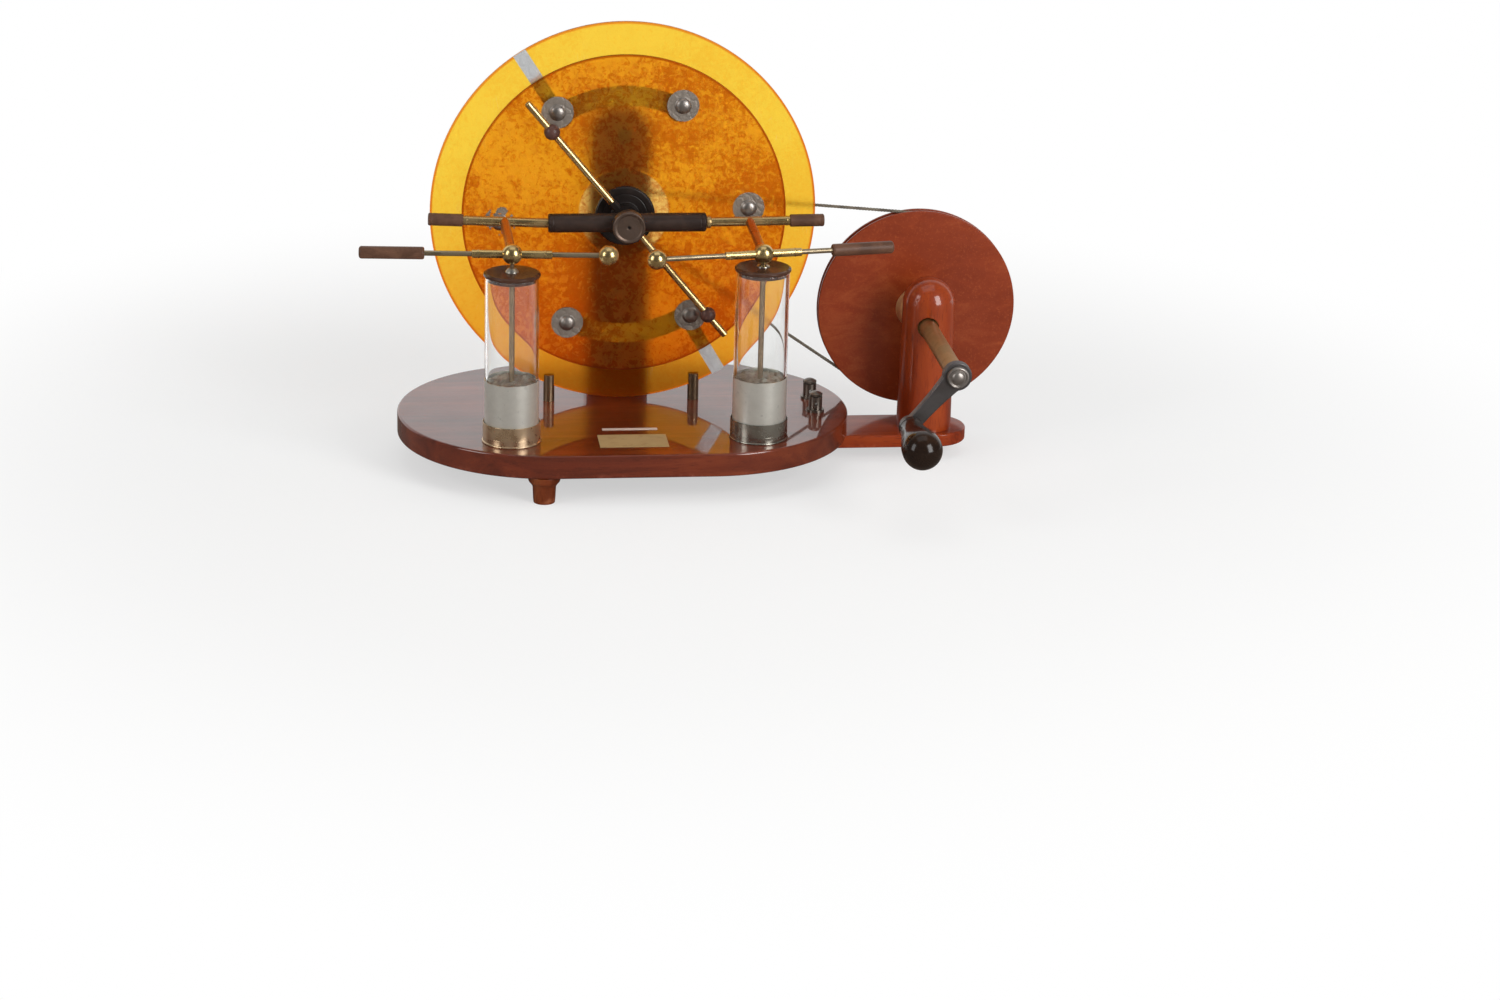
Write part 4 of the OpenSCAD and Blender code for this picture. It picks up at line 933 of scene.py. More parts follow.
@dataclass
class Plates:
    """Fixed plate and turning disc with what is on them."""

    plate: Extent = Extent.of("fixed_plate")
    disc: Extent = Extent.of("rotating_disc")
    hub: Extent = Extent.of("disc_hub")
    hole_radius: float = 42
    bore: float = 5.05
    sleeve_radius: float = 9
    ring_radius: float = 116
    carriers: int = 6
    carrier_turn: float = 3
    worn_carrier: int = 3
    foil_radius: float = 15
    foil_thick: float = 0.3
    stud_radius: float = 7.75
    stud_height: float = 4.5

    def ring(self, name: str, inner: float, box: Extent, soft: float) -> Piece:
        """Flat ring about the spindle, its rims rounded."""
        outer, thick = box.size.x / 2, box.size.y
        mesh = Piece.lathe([(inner, 0), (outer, 0), (outer, thick), (inner, thick)], 180, True)
        Piece.soften(mesh, soft, 3, 60)
        return Piece(name).take(mesh, DATUM.at(0, box.low.y, 0), BACK)

    def carrier_points(self) -> list[Point]:
        """Middles of the carriers."""
        turns = [math.radians(self.carrier_turn + 360 * i / self.carriers) for i in range(self.carriers)]
        return [(self.ring_radius * math.cos(a), self.ring_radius * math.sin(a)) for a in turns]

    def foil_disc(self, seed: Vector, worn: bool) -> bmesh.types.BMesh:
        """Foil disc with a ragged edge.

        Args:
            seed: Offset into the noise.
            worn: Whether most of the foil has flaked off.

        Returns:
            The foil, its back on z = 0.
        """
        radius = self.foil_radius
        mesh = Piece.lathe([(radius * k / 12, 0) for k in range(12, -1, -1)], 72)
        for vert in mesh.verts:
            reach = vert.co.length / (radius * MM)
            vert.co *= 1 - abs(noise.noise(vert.co * 320 + seed)) * 0.04 * reach
        if worn:
            lost = [
                f for f in mesh.faces
                if noise.noise(f.calc_center_median() * 150 + seed) < 0.06
                and f.calc_center_median().length > 0.0045
            ]
            bmesh.ops.delete(mesh, geom=lost, context="FACES")
        bmesh.ops.solidify(mesh, geom=mesh.faces[:], thickness=self.foil_thick * MM)
        bmesh.ops.translate(mesh, verts=mesh.verts, vec=(0, 0, -min(v.co.z for v in mesh.verts)))
        bmesh.ops.recalc_face_normals(mesh, faces=mesh.faces)
        return mesh

    def carriers_set(self) -> None:
        """Foil discs and domed studs on the disc."""
        foils, studs = Piece("carrier_foil_discs"), Piece("carrier_stud_domes")
        r, h, front = self.stud_radius, self.stud_height, self.disc.low.y
        crown = quarter((0, 0.9), r * 0.9, h - 0.9, 8)[1:-1]
        dome = [(0, 0), (r, 0), (r, 0.6), (r * 0.93, 0.9), *crown, (0, h)]
        for i, (x, z) in enumerate(self.carrier_points()):
            foil = self.foil_disc(Vector((x, z, 0)), i == self.worn_carrier)
            foils.take(foil, DATUM.at(x, front, z), FRONT)
            studs.turn(dome, DATUM.at(x, front - self.foil_thick, z), FRONT, 0, 40)
        foils.done(Palette.carrier, "disc", "carrier_foils")
        studs.done(Palette.pewter, "disc", "carrier_studs")

    def build(self) -> None:
        """Makes and dresses both plates."""
        plate = self.ring("fixed_plate_glass", self.hole_radius, self.plate, 1.4)
        plate.done(Palette.plate, "frame", "fixed_plate", flat_below=50)
        disc = self.ring("turning_disc_glass", self.sleeve_radius + FIT, self.disc, 1.1)
        disc.done(Palette.disc, "disc", "rotating_disc", flat_below=50)
        self.carriers_set()
        flange, sleeve, bore = self.hub.size.x / 2, self.sleeve_radius, self.bore
        rise, depth = self.disc.low.y - self.hub.low.y, self.hub.high.y - self.disc.low.y
        hub = Piece("disc_hub_turned")
        shoulder = [(flange, 0), (flange, 3.2), (flange - 1.4, 4.5)]
        groove = [(22, 4.5), (21, 4.0), (20, 4.5)]
        hub.turn([
            (bore, -depth), (sleeve, -depth), (sleeve, 0), *shoulder, *groove,
            (13.6, 4.5), (13, 5.4), (13, rise - 0.9), (12.2, rise), (bore, rise),
        ], DATUM.at(0, self.disc.low.y, 0), FRONT, 0.4, 96, True)
        hub.done(Palette.black, "disc", "disc_hub")
        dress(Palette.strip, "inductors")
        dress(Palette.black, "hub_nut")
        dress(Palette.plank, "pulley")


@dataclass
class Combs:
    """Crossbar, comb rods with points and sleeves, arms and knob."""

    bar: Extent = Extent.of("crossbar")
    knob: Extent = Extent.of("end_knob")
    rod_radius: float = 4.4
    rod_end: float = 151
    sleeve_radius: float = 5.8
    sleeve_length: float = 32
    sleeve_seat: float = 20
    rise: dict[Side, float] = field(default_factory=lambda: {Side.LEFT: 2.4, Side.RIGHT: 0.6})
    points: int = 9
    point_span: float = 29
    point_middle: float = 43
    point_reach: float = 19.7

    def along(self, side: Side) -> Vector:
        """Outward direction of a comb rod."""
        rise = math.radians(self.rise[side])
        return Vector((side.value * math.cos(rise), 0, math.sin(rise)))

    def start(self, side: Side) -> Vector:
        """Place where a comb rod leaves the crossbar."""
        return DATUM.at(side.value * self.bar.size.x / 2, self.bar.middle.y, 0)

    def comb(self, side: Side) -> None:
        """One comb rod with its points."""
        start, out, r = self.start(side), self.along(side), self.rod_radius
        bare = self.rod_end - self.bar.size.x / 2
        ferrule = [(r, 0.6), (r + 1.4, 0.6), (r + 1.4, 3.4), (r + 0.8, 4.5), (r, 4.5)]
        bead = [(r, bare - 4), (r + 0.25, bare - 3.4), (r + 0.25, bare - 2.4), (r, bare - 1.8)]
        low, high = 1 - self.sleeve_seat, bare + 19.2
        rod = Piece(f"comb_rod_{side.word}_turned")
        rod.turn([
            (0, low), (r, low), *(ferrule if side is Side.RIGHT else []), *bead, (r, high), (0, high),
        ], start, out, 0.15, 40)
        tip, reach = 3.5, self.point_reach
        for i in range(self.points):
            place = self.point_middle + (i / (self.points - 1) - 0.5) * self.point_span
            needle = [(0, 0), (0.7, 0), (0.7, reach - tip), (0.12, reach - 0.05), (0, reach)]
            rod.turn(needle, start + out * place * MM, BACK, 0, 8)
        rod.done(Palette.rod_brass, "frame", f"comb_rod_{side.word}")

    def sleeves(self) -> None:
        """Turned sleeves on the rods' outer ends, with a dished end."""
        piece = Piece("comb_sleeves_turned")
        bore, seat = self.rod_radius + FIT, self.sleeve_seat
        r, length = self.sleeve_radius, self.sleeve_length
        groove = [(r, length - 4.2), (r - 0.3, length - 3.8), (r, length - 3.4), (r, length - 0.9)]
        dish = [(r - 0.9, length), (r - 2.4, length), (r - 3.0, length - 1.6), (0, length - 1.6)]
        profile = [(0, seat), (bore, seat), (bore, 0), (r - 0.8, 0), (r, 0.8), *groove, *dish]
        for side in Side:
            out = self.along(side)
            place = self.start(side) + out * (self.rod_end - self.bar.size.x / 2) * MM
            piece.turn(profile, place, out, 0.25, 48)
        piece.done(Palette.ebonite, "frame", "comb_sleeves")

    def build(self) -> None:
        """Makes and dresses the comb assembly."""
        r, half = self.bar.size.z / 2, self.bar.size.x / 2
        bar = Piece("crossbar_turned")
        end = [(r - 1.2, half), (r, half - 1.2), (r, half - 4.4), (r - 0.35, half - 4.8), (r, half - 5.2)]
        profile = [(0, -half), *[(a, -b) for a, b in end], *end[::-1], (0, half)]
        bar.turn(profile, DATUM.at(0, self.bar.middle.y, 0), RIGHTWARD, 0.3, 64)
        bar.done(Palette.bar, "frame", "crossbar")
        for side in Side:
            self.comb(side)
        self.sleeves()
        knob, r, t = Piece("end_knob_turned"), self.knob.size.x / 2, self.knob.size.y
        mark = [(0, t - 4.1), (1.6, t - 4.1), (1.6, t - 1.1), (3.0, t - 0.95)]
        rim = [(r - 3.9, t - 1.0), (r - 2.9, t - 0.3), (r - 2.2, t), (r - 0.9, t), (r, t - 1.0)]
        groove = [(r, t - 3.2), (r - 0.4, t - 3.6), (r, t - 4.0)]
        profile = [*mark, *rim, *groove, (r, 1.2), (r - 0.9, 0), (0, 0)]
        knob.turn(profile, DATUM.at(0, self.knob.high.y, 0), FRONT, 0.25, 72)
        knob.done(Palette.knob, "frame", "end_knob")
        dress(Palette.copper, "comb_arms")


@dataclass
class Neutraliser:
    """Neutralising rod with its collar, balls and brushes."""

    rod: Extent = Extent.of("neutral_rod")
    turn: float = 130
    radius: float = 3.4
    ends: tuple[float, float] = (143, 147.5)
    start: float = 9
    ball_radius: float = 7.4
    balls: tuple[float, float] = (107.5, -121.5)

    def build(self) -> None:
        """Makes and dresses the rod."""
        lean = math.radians(self.turn)
        upper = Vector((math.cos(lean), 0, math.sin(lean)))
        middle = DATUM.at(0, self.rod.middle.y, 0)
        rod, balls = Piece("neutral_rod_tube"), Piece("neutral_ball_pair")
        r = self.radius
        for out, end in zip((upper, -upper), self.ends):
            bead = [(r, 22), (r + 0.2, 22.6), (r + 0.2, 24.4), (r, 25)]
            mouth = [(r, end - 0.5), (r - 0.5, end), (r - 0.9, end), (r - 1.1, end - 0.6)]
            profile = [(0, self.start), (r, self.start), *bead, *mouth, (r - 1.1, end - 9), (0, end - 9)]
            rod.turn(profile, middle, out, 0.12, 40)
        big, bore = self.ball_radius, r + FIT
        open_at = math.degrees(math.acos(bore / big))
        shell = arc((0, 0), big, -open_at, open_at, 22)
        for place in self.balls:
            balls.turn(shell, middle + upper * place * MM, upper, 0, 48, True)
        rod.done(Palette.brass, "neutraliser", "neutral_rod")
        balls.done(Palette.ball, "neutraliser", "neutral_balls")
        dress(Palette.black, "neutral_collar")
        dress(Palette.brass, "neutral_brushes")


@dataclass
class Jar:
    """One condenser jar with what stands on it."""

    side: Side
    wall: float = 2.2
    cup_floor: float = 2
    coat_height: float = 57
    coat_thick: float = 0.3
    bolt_bore: float = 3.05
    lid_radius: float = 25.75
    lid_thick: float = 3.6
    rod_radius: float = 2.5
    stem_radius: float = 1.8
    stem_room: float = 3.6
    nut_radius: float = 6
    nut_heights: dict[Side, float] = field(default_factory=lambda: {Side.LEFT: 3.8, Side.RIGHT: 2.0})

    def __post_init__(self) -> None:
        """Measures the jar's glass, cup and ball."""
        glass, cup = Extent.of(f"jar_glass_{self.side.word}"), Extent.of(f"jar_cup_{self.side.word}")
        self.radius = glass.size.x / 2
        self.foot = DATUM.at(glass.middle.x, glass.middle.y, cup.low.z)
        self.top = glass.high.z - cup.low.z
        self.cup_radius, self.cup_height = cup.size.x / 2, cup.size.z
        self.ball = Vector(JOINTS[f"swing_{self.side.word}"]["pos_m"])

    def glass(self) -> None:
        """Blown tube with a rounded foot and a fire-polished lip."""
        r, t, z = self.radius, self.wall, self.cup_floor
        outer = [(0, z), (r - 3, z), *arc((r - 3, z + 3), 3, -80, 0, 5), (r, self.top - t / 2)]
        lip = arc((r - t / 2, self.top - t / 2), t / 2, 0, 180, 6)[1:]
        inner = [*arc((r - t - 2, z + t + 2), 2, 0, -80, 4), (r - t - 2, z + t), (0, z + t)]
        piece = Piece(f"jar_glass_{self.side.word}_blown")
        piece.turn([*outer, *lip, *inner], self.foot, UP, 0, 96)
        piece.done(Palette.clear, "frame", f"jar_glass_{self.side.word}", flat_below=60)

    def cup(self) -> None:
        """Spun metal cup with a rolled foot."""
        outer, h, bolt = self.cup_radius, self.cup_height, self.bolt_bore
        inner = outer - 0.6
        piece = Piece(f"jar_cup_{self.side.word}_spun")
        piece.turn([
            (bolt, 0), (outer + 0.25, 0), *arc((outer - 0.1, 0.9), 0.9, -70, 80, 6), (outer, 2.1), (outer, 6.2),
            (outer + 0.15, 6.6), (outer, 7.0), (outer, h - 0.4), (outer - 0.3, h), (inner, h - 0.3),
            (inner, self.cup_floor), (bolt, self.cup_floor),
        ], self.foot, UP, 0, 96, True)
        finish = Palette.gold_cup if self.side is Side.LEFT else Palette.dark_nickel
        piece.done(finish, "frame", f"jar_cup_{self.side.word}")

    def coat(self, piece: Piece) -> None:
        """Outer foil, wrapped by hand, its top edge cut a little unevenly."""
        inner, low = self.radius + FIT, self.cup_floor
        outer, high = inner + self.coat_thick, low + self.coat_height
        steps = [(outer, low + (high - low) * k / 10) for k in range(11)]
        mesh = Piece.lathe([(inner, low), *steps, (inner, high)], 120, True)
        for vert in mesh.verts:
            if vert.co.z > (high - 0.5) * MM:
                vert.co.z -= abs(noise.noise(vert.co * 140 + self.foot * 1000)) * 1.1 * MM
        piece.take(mesh, self.foot)

    def fill(self, piece: Piece) -> None:
        """Loose leaf packed in the jar, its top crumpled."""
        r, low = self.radius - self.wall - FIT, self.cup_floor + self.wall
        high = self.cup_floor + self.coat_height - 1.6
        rings = [(r * k / 16, high) for k in range(15, -1, -1)]
        mesh = Piece.lathe([(0, low), (r, low), (r, high - 1.4), (r, high), *rings], 96)
        for vert in mesh.verts:
            if vert.co.z > (high - 0.4) * MM:
                spot = Vector((vert.co.x, vert.co.y, self.foot.x)) * 150
                fold = noise.turbulence(spot, 4, True) - 0.55
                vert.co.z += max(-1.4, min(1.5, fold * 3.4)) * MM
        piece.take(mesh, self.foot)

    def lid(self, piece: Piece) -> None:
        """Turned lid with a plug."""
        top, r, t, bore = self.top, self.lid_radius, self.lid_thick, self.rod_radius + FIT
        plug = self.radius - self.wall - 0.1
        piece.turn([
            (bore, top - 4), (plug, top - 4), (plug, top), (r - 0.55, top), (r, top + 0.6), (r, top + t - 1.3),
            (r - 0.45, top + t - 0.7), (r - 1.35, top + t - 0.5), (r - 2.15, top + t), (bore, top + t),
        ], self.foot, UP, 0.2, 96, True)

    def stem(self, rods: Piece, nuts: Piece) -> None:
        """Rod through the lid and the cone nut on it."""
        low = self.cup_floor + self.coat_height - 20
        base, r, s, n = self.top + self.lid_thick, self.rod_radius, self.stem_radius, self.nut_radius
        nut_top = base + self.nut_heights[self.side]
        end = (self.ball.z - self.foot.z) / MM - self.stem_room
        rods.turn([
            (0, low), (r - 0.4, low), (r, low + 0.4), (r, nut_top), (s, nut_top + 0.2), (s, end), (0, end),
        ], self.foot, UP, 0, 32)
        nuts.turn([
            (r + FIT, base), (n - 0.1, base), (n, base + 0.2), (n - 0.1, base + 0.8),
            (r + 1.2, nut_top - 0.3), (r + 0.8, nut_top), (r + FIT, nut_top),
        ], self.foot, UP, 0, 40, True)


@dataclass
class Jars:
    """Both condenser jars."""

    jars: tuple[Jar, Jar] = (Jar(Side.LEFT), Jar(Side.RIGHT))
    bolt_head: float = 4
    bolt_drop: float = 22

    def build(self) -> None:
        """Makes and dresses the jars."""
        coats, fills, lids = Piece("outer_foils_wrapped"), Piece("inner_foils_crumpled"), Piece("jar_lids_turned")
        rods, nuts, bolts = Piece("jar_rods_turned"), Piece("lid_nuts_turned"), Piece("jar_bolts_turned")
        low = -self.bolt_drop - self.bolt_head
        neck = low + self.bolt_head
        bolt = [(0, low), (4.5, low), (6, low + 0.8), (6, neck), (3, neck), (3, 2), (0, 2)]
        for jar in self.jars:
            jar.glass()
            jar.cup()
            jar.coat(coats)
            jar.fill(fills)
            jar.lid(lids)
            jar.stem(rods, nuts)
            bolts.turn(bolt, jar.foot, UP, 0.3, 6)
        coats.done(Palette.foil, "frame", "outer_foils")
        fills.done(Palette.leaf, "frame", "inner_foils", flat_below=80)
        lids.done(Palette.lid, "frame", "jar_lids")
        rods.done(Palette.peg, "frame", "jar_rods")
        nuts.done(Palette.nickel, "frame", "lid_nuts")
        bolts.done(Palette.nickel, "frame", "jar_bolts")


@dataclass
class DischargeRod:
    """One sliding rod with its swivel, ball and handle."""

    side: Side
    ball_radius: float = 9.2
    tube_radius: float = 3.75
    tube_half: float = 36
    rod_radius: float = 2.4
    ball_seat: float = 6
    spark_radius: float = 9.2
    grip_radius: float = 5.7
    grip_length: float = 58.5
    grip_seat: float = 14

    def build(self) -> None:
        """Makes and dresses the rod."""
        word = self.side.word
        out = Vector(JOINTS[f"slide_{word}"]["axis"]).normalized()
        middle = Vector(JOINTS[f"swing_{word}"]["pos_m"])
        spark = DATUM.at(*Extent.of(f"spark_ball_{word}").middle)
        grip = DATUM.at(*Extent.of(f"discharge_grip_{word}").middle) - out * self.grip_length / 2 * MM
        t, b, bore, half = self.tube_radius, self.ball_radius, self.rod_radius + FIT, self.tube_half
        meet = math.degrees(math.acos(t / b))
        bead = [(t, half - 7), (t + 0.3, half - 6.6), (t + 0.3, half - 5.6), (t, half - 5.2)]
        end = [*bead, (t, half - 0.5), (t - 0.5, half)]
        swivel = Piece(f"swivel_tube_{word}_turned")
        shell = [*[(a, -h) for a, h in end[::-1]], *arc((0, 0), b, -meet, meet, 28), *end]
        swivel.turn([(bore, -half), *shell, (bore, half)], middle, out, 0, 56, True)
        swivel.done(Palette.brass, f"swivel_{word}", f"swivel_tube_{word}")
        s, g, r, n = self.spark_radius, self.grip_radius, self.rod_radius, self.grip_length
        first = (spark - middle).dot(out) / MM + s - self.ball_seat
        last = (grip - middle).dot(out) / MM + self.grip_seat
        rod = Piece(f"discharge_rod_{word}_drawn")
        rod.turn([(0, first), (r, first), (r, last), (0, last)], middle, out, 0.2, 32)
        rod.done(Palette.rod, f"rod_{word}", f"discharge_rod_{word}")
        neck, seat = math.degrees(math.acos(bore / s)), s - self.ball_seat - FIT
        ball = Piece(f"spark_ball_{word}_turned")
        ball.turn([*arc((0, 0), s, -90, neck, 36), (bore, seat), (0, seat)], spark, out, 0, 56)
        ball.done(Palette.brass, f"rod_{word}", f"spark_ball_{word}")
        handle = Piece(f"discharge_grip_{word}_turned")
        seat = self.grip_seat + FIT
        near, far = arc((g - 1.8, 1.8), 1.8, -90, 0, 5), arc((g - 2.6, n - 2.6), 2.6, 0, 90, 7)
        handle.turn([(0, seat), (bore, seat), (bore, 0), *near, *far, (0, n)], grip, out, 0, 48)
        handle.done(Palette.ebonite, f"rod_{word}", f"discharge_grip_{word}")


@dataclass
class Terminals:
    """Two binding posts with milled screws."""

    shank: float = 2
    reach: float = 4
    ridges: int = 36

    def build(self) -> None:
        """Makes the milled screws and dresses the posts."""
        dress(Palette.post, "terminal_posts")
        for word in ("front", "back"):
            box = Extent.of(f"terminal_screw_{word}")
            r, s, top = box.size.x / 2, self.shank, box.size.z
            low = self.reach + FIT
            head = Piece.lathe([
                (0, 0), (s - 0.4, 0), (s, 0.4), (s, low), (r - 0.5, low), (r, low + 0.45), (r, low + 2.2),
                (r - 0.9, low + 2.8), (r - 2.4, low + 3.6), (r - 4.2, top - 0.15), (0, top),
            ], self.ridges * 2)
            for vert in head.verts:
                turn = round(math.atan2(vert.co.y, vert.co.x) / math.tau * self.ridges * 2)
                if Vector((vert.co.x, vert.co.y, 0)).length > (r - 0.2) * MM and turn % 2:
                    vert.co.x *= 0.95
                    vert.co.y *= 0.95
            piece = Piece(f"terminal_screw_{word}_milled")
            piece.take(head, DATUM.at(box.middle.x, box.middle.y, box.low.z))
            piece.done(Palette.post, f"thumb_{word}", f"terminal_screw_{word}", flat_below=25)


@dataclass
class Drive:
    """Wheel, crank and belt."""

    wheel: Extent = Extent.of("drive_wheel")
    hub: Extent = Extent.of("wheel_hub")
    shaft: Extent = Extent.of("crank_shaft")
    arm: Extent = Extent.of("crank_arm")
    nut: Extent = Extent.of("crank_nut")
    pin: Extent = Extent.of("handle_pin")
    handle: Extent = Extent.of("crank_handle")
    groove: float = 5.5
    tip_radius: float = 5
    nut_thick: float = 5
    boss_radius: float = 13.25
    eye_radius: float = 9.25
    arm_share: float = 0.72
    neck_radius: float = 11.25
    pitch: tuple[float, float] = (14, 91.5)
    belt_radius: float = 1.6
    belt_step: float = 1.1
    lay: float = 9
    strands: int = 3

    def spun_wheel(self) -> None:
        """Grooved wheel, boss and shaft."""
        r, t, bore = self.wheel.size.x / 2, self.wheel.size.y, self.shaft.size.x / 2 + FIT
        x, z = self.wheel.middle.x, self.wheel.middle.z
        axis = DATUM.at(x, self.wheel.low.y, z)
        deep = r - self.groove
        wheel = Piece("drive_wheel_turned")
        groove = [(r, 2.9), (deep, 4.0), (deep, t - 4.0), (r, t - 2.9)]
        profile = [(bore, 0), (r - 0.8, 0), (r, 0.9), *groove, (r, t - 0.9), (r - 0.8, t), (bore, t)]
        wheel.turn(profile, axis, BACK, 0.2, 180, True)
        wheel.done(Palette.wheel, "crank", "drive_wheel")
        boss, wide, long = Piece("wheel_boss_turned"), self.hub.size.x / 2, self.hub.size.y
        foot, nose = 4.0, bore + 1.5
        dome = quarter((nose, foot), wide - 0.8 - nose, long - foot, 10)
        boss.turn([
            (bore, 0), (wide, 0), (wide, foot - 1.4), (wide - 0.5, foot - 0.6), *dome, (bore, long),
        ], axis, FRONT, 0, 72, True)
        boss.done(Palette.boss, "crank", "wheel_hub")
        r, tip = self.shaft.size.x / 2, self.tip_radius
        low, back = self.arm.low.y - self.arm.high.y, self.wheel.high.y - self.arm.high.y
        ring = [(r, 6.0), (r - 0.3, 6.4), (r - 0.3, 7.2), (r, 7.6)]
        shaft = Piece("crank_shaft_turned")
        shaft.turn([
            (0, low), (tip, low), (tip, 0), (r - 0.5, 0), (r, 0.5), *ring, (r, back), (tip, back),
            (tip, back + self.nut_thick), (0, back + self.nut_thick),
        ], DATUM.at(x, self.arm.high.y, z), BACK, 0.15, 56)
        shaft.done(Palette.brown_brass, "crank", "crank_shaft")
        dress(Palette.rod_brass, "wheel_nut")

    def lever(self) -> None:
        """Crank arm: two round ends and a tapered web, its edges eased."""
        axis, eye = self.nut.middle, self.pin.middle
        reach = Vector((eye.x - axis.x, eye.z - axis.z))
        wide, narrow = self.boss_radius, self.eye_radius
        web, thick = self.arm_share, self.arm.size.y
        open_at = math.degrees(math.asin(web))
        start = wide * math.cos(math.radians(open_at))
        end = reach.length - narrow * math.cos(math.asin(web))
        steps = 12
        flank = [
            (start + (end - start) * i / steps, web * (narrow + (wide - narrow) * (1 - i / steps) ** 2.4))
            for i in range(1, steps)
        ]
        outline = [
            *arc((0, 0), wide, open_at, 360 - open_at, 40), *[(x, -y) for x, y in flank],
            *arc((reach.length, 0), narrow, open_at - 180, 180 - open_at, 32), *flank[::-1],
        ]
        mesh = Piece.slab(outline, thick)
        Piece.soften(mesh, 1.2, 3, 60)
        lean = math.atan2(reach.y, reach.x)
        mesh.transform(Matrix.Rotation(-lean, 4, "Z"))
        mesh.transform(Matrix.Rotation(-math.pi / 2, 4, "X"))
        piece = Piece("crank_arm_forged")
        piece.take(mesh, DATUM.at(axis.x, self.arm.low.y, axis.z))
        piece.done(Palette.dark_steel, "crank", "crank_arm", flat_below=50)

    def crank(self) -> None:
        """Arm, nut, pin and handle."""
        self.lever()
        r, face = self.nut.size.x / 2, self.arm.low.y
        rim = [(r, 0), (r, 2.6), (r - 0.6, 3.7), (r - 1.4, 4.0), (r - 2.2, 3.4), (r - 2.8, 2.9)]
        crown = quarter((0, 3.0), 0.62 * r, 3.2, 8)[:-1]
        nut = Piece("crank_nut_turned")
        place = DATUM.at(self.nut.middle.x, face, self.nut.middle.z)
        nut.turn([(0, 0), *rim, *crown, (0, 6.2)], place, FRONT, 0.1, 56)
        nut.done(Palette.pewter, "crank", "crank_nut")
        dress(Palette.dark_steel, "handle_pin")
        neck, bulb, length = self.neck_radius, self.handle.size.x / 2, self.handle.size.y
        body = length - bulb
        bore, depth = self.pin.size.x / 2 + FIT, self.handle.high.y - self.pin.low.y + FIT
        steps, collar = 30, 7
        swell = [
            (neck + (bulb - neck) * (1 - math.cos(math.pi * i / steps)) / 2, collar + (body - collar) * i / steps)
            for i in range(steps + 1)
        ]
        ring = [(neck, 4.4), (neck - 0.5, 5.0), (neck - 0.5, 6.0), (neck, 6.6)]
        handle = Piece("crank_handle_turned")
        handle.turn([
            (0, depth), (bore, depth), (bore, 0), (neck - 1.2, 0), (neck, 1.0), *ring, *swell,
            *arc((0, body), bulb, 6, 90, 20),
        ], DATUM.at(self.handle.middle.x, self.handle.high.y, self.handle.middle.z), FRONT, 0, 72)
        handle.done(Palette.handle, "handle", "crank_handle")

    def route(self) -> list[tuple[Vector, Vector]]:
        """Middle line of the belt: each point with its outward direction."""
        small, large = self.pitch
        far_x, y, far_z = self.wheel.middle
        length, lean = math.hypot(far_x, far_z), math.atan2(far_z, far_x)
        spread = math.asin((large - small) / length)
        upper, lower = lean + math.pi / 2 + spread, lean - math.pi / 2 - spread
        line: list[tuple[Vector, Vector]] = []
        arcs = ((0.0, 0.0, small, upper, lower + math.tau, 60), (far_x, far_z, large, lower, upper, 320))
        for x, z, radius, start, end, steps in arcs:
            for i in range(steps + 1):
                turn = start + (end - start) * i / steps
                out = Vector((math.cos(turn), 0, math.sin(turn)))
                line.append((DATUM.at(x, y, z) + out * radius * MM, out))
        dense: list[tuple[Vector, Vector]] = []
        for (p, a), (q, b) in zip(line, line[1:] + line[:1]):
            runs = max(1, round((q - p).length / (self.belt_step * MM)))
            dense += [(p.lerp(q, i / runs), a.lerp(b, i / runs).normalized()) for i in range(runs)]
        return dense

    def belt(self) -> None:
        """Three strands laid round one route."""
        line = self.route()
        turns = round(len(line) * self.belt_step / self.lay)
        curve = bpy.data.curves.new("belt_strands", "CURVE")
        curve.dimensions, curve.bevel_depth, curve.bevel_resolution = "3D", self.belt_radius * 0.53 * MM, 1
        for strand in range(self.strands):
            spline = curve.splines.new("POLY")
            spline.points.add(len(line) - 1)
            spline.use_cyclic_u = True
            for i, (place, out) in enumerate(line):
                turn = math.tau * (turns * i / len(line) + strand / self.strands)
                lift = (out * math.cos(turn) + BACK * math.sin(turn)) * self.belt_radius * 0.47 * MM
                spline.points[i].co = (*(place + lift), 1)
        holder = bpy.data.objects.new("belt_strands", curve)
        bpy.context.scene.collection.objects.link(holder)
        mesh = bpy.data.meshes.new_from_object(holder.evaluated_get(bpy.context.evaluated_depsgraph_get()))
        bpy.data.objects.remove(holder)
        piece = Piece("drive_belt_laid")
        piece.mesh.from_mesh(mesh)
        bpy.data.meshes.remove(mesh)
        piece.done(Palette.cord, "frame", "drive_belt")

    def build(self) -> None:
        """Makes and dresses the drive."""
        self.spun_wheel()
        self.crank()
        self.belt()


@dataclass(frozen=True)
class SoftBox:
    """One soft studio lamp that faces the machine."""

    name: str
    azimuth: float
    elevation: float
    size: tuple[float, float]
    power: float
    reach: float = 2.8
    target: tuple[float, float, float] = (0, 0, 0.2)

    def build(self) -> None:
        """Hangs the lamp; azimuth 0 is in front of the machine and 90 on its right."""
        turn, lift = math.radians(self.azimuth), math.radians(self.elevation)
        away = Vector((math.sin(turn) * math.cos(lift), -math.cos(turn) * math.cos(lift), math.sin(lift)))
        data = bpy.data.lights.new(self.name, "AREA")
        data.shape, data.size, data.size_y, data.energy = "RECTANGLE", *self.size, self.power
        lamp = bpy.data.objects.new(self.name, data)
        lamp.location = Vector(self.target) + away * self.reach
        lamp.rotation_euler = (-away).to_track_quat("-Z", "Y").to_euler()
        bpy.context.scene.collection.objects.link(lamp)


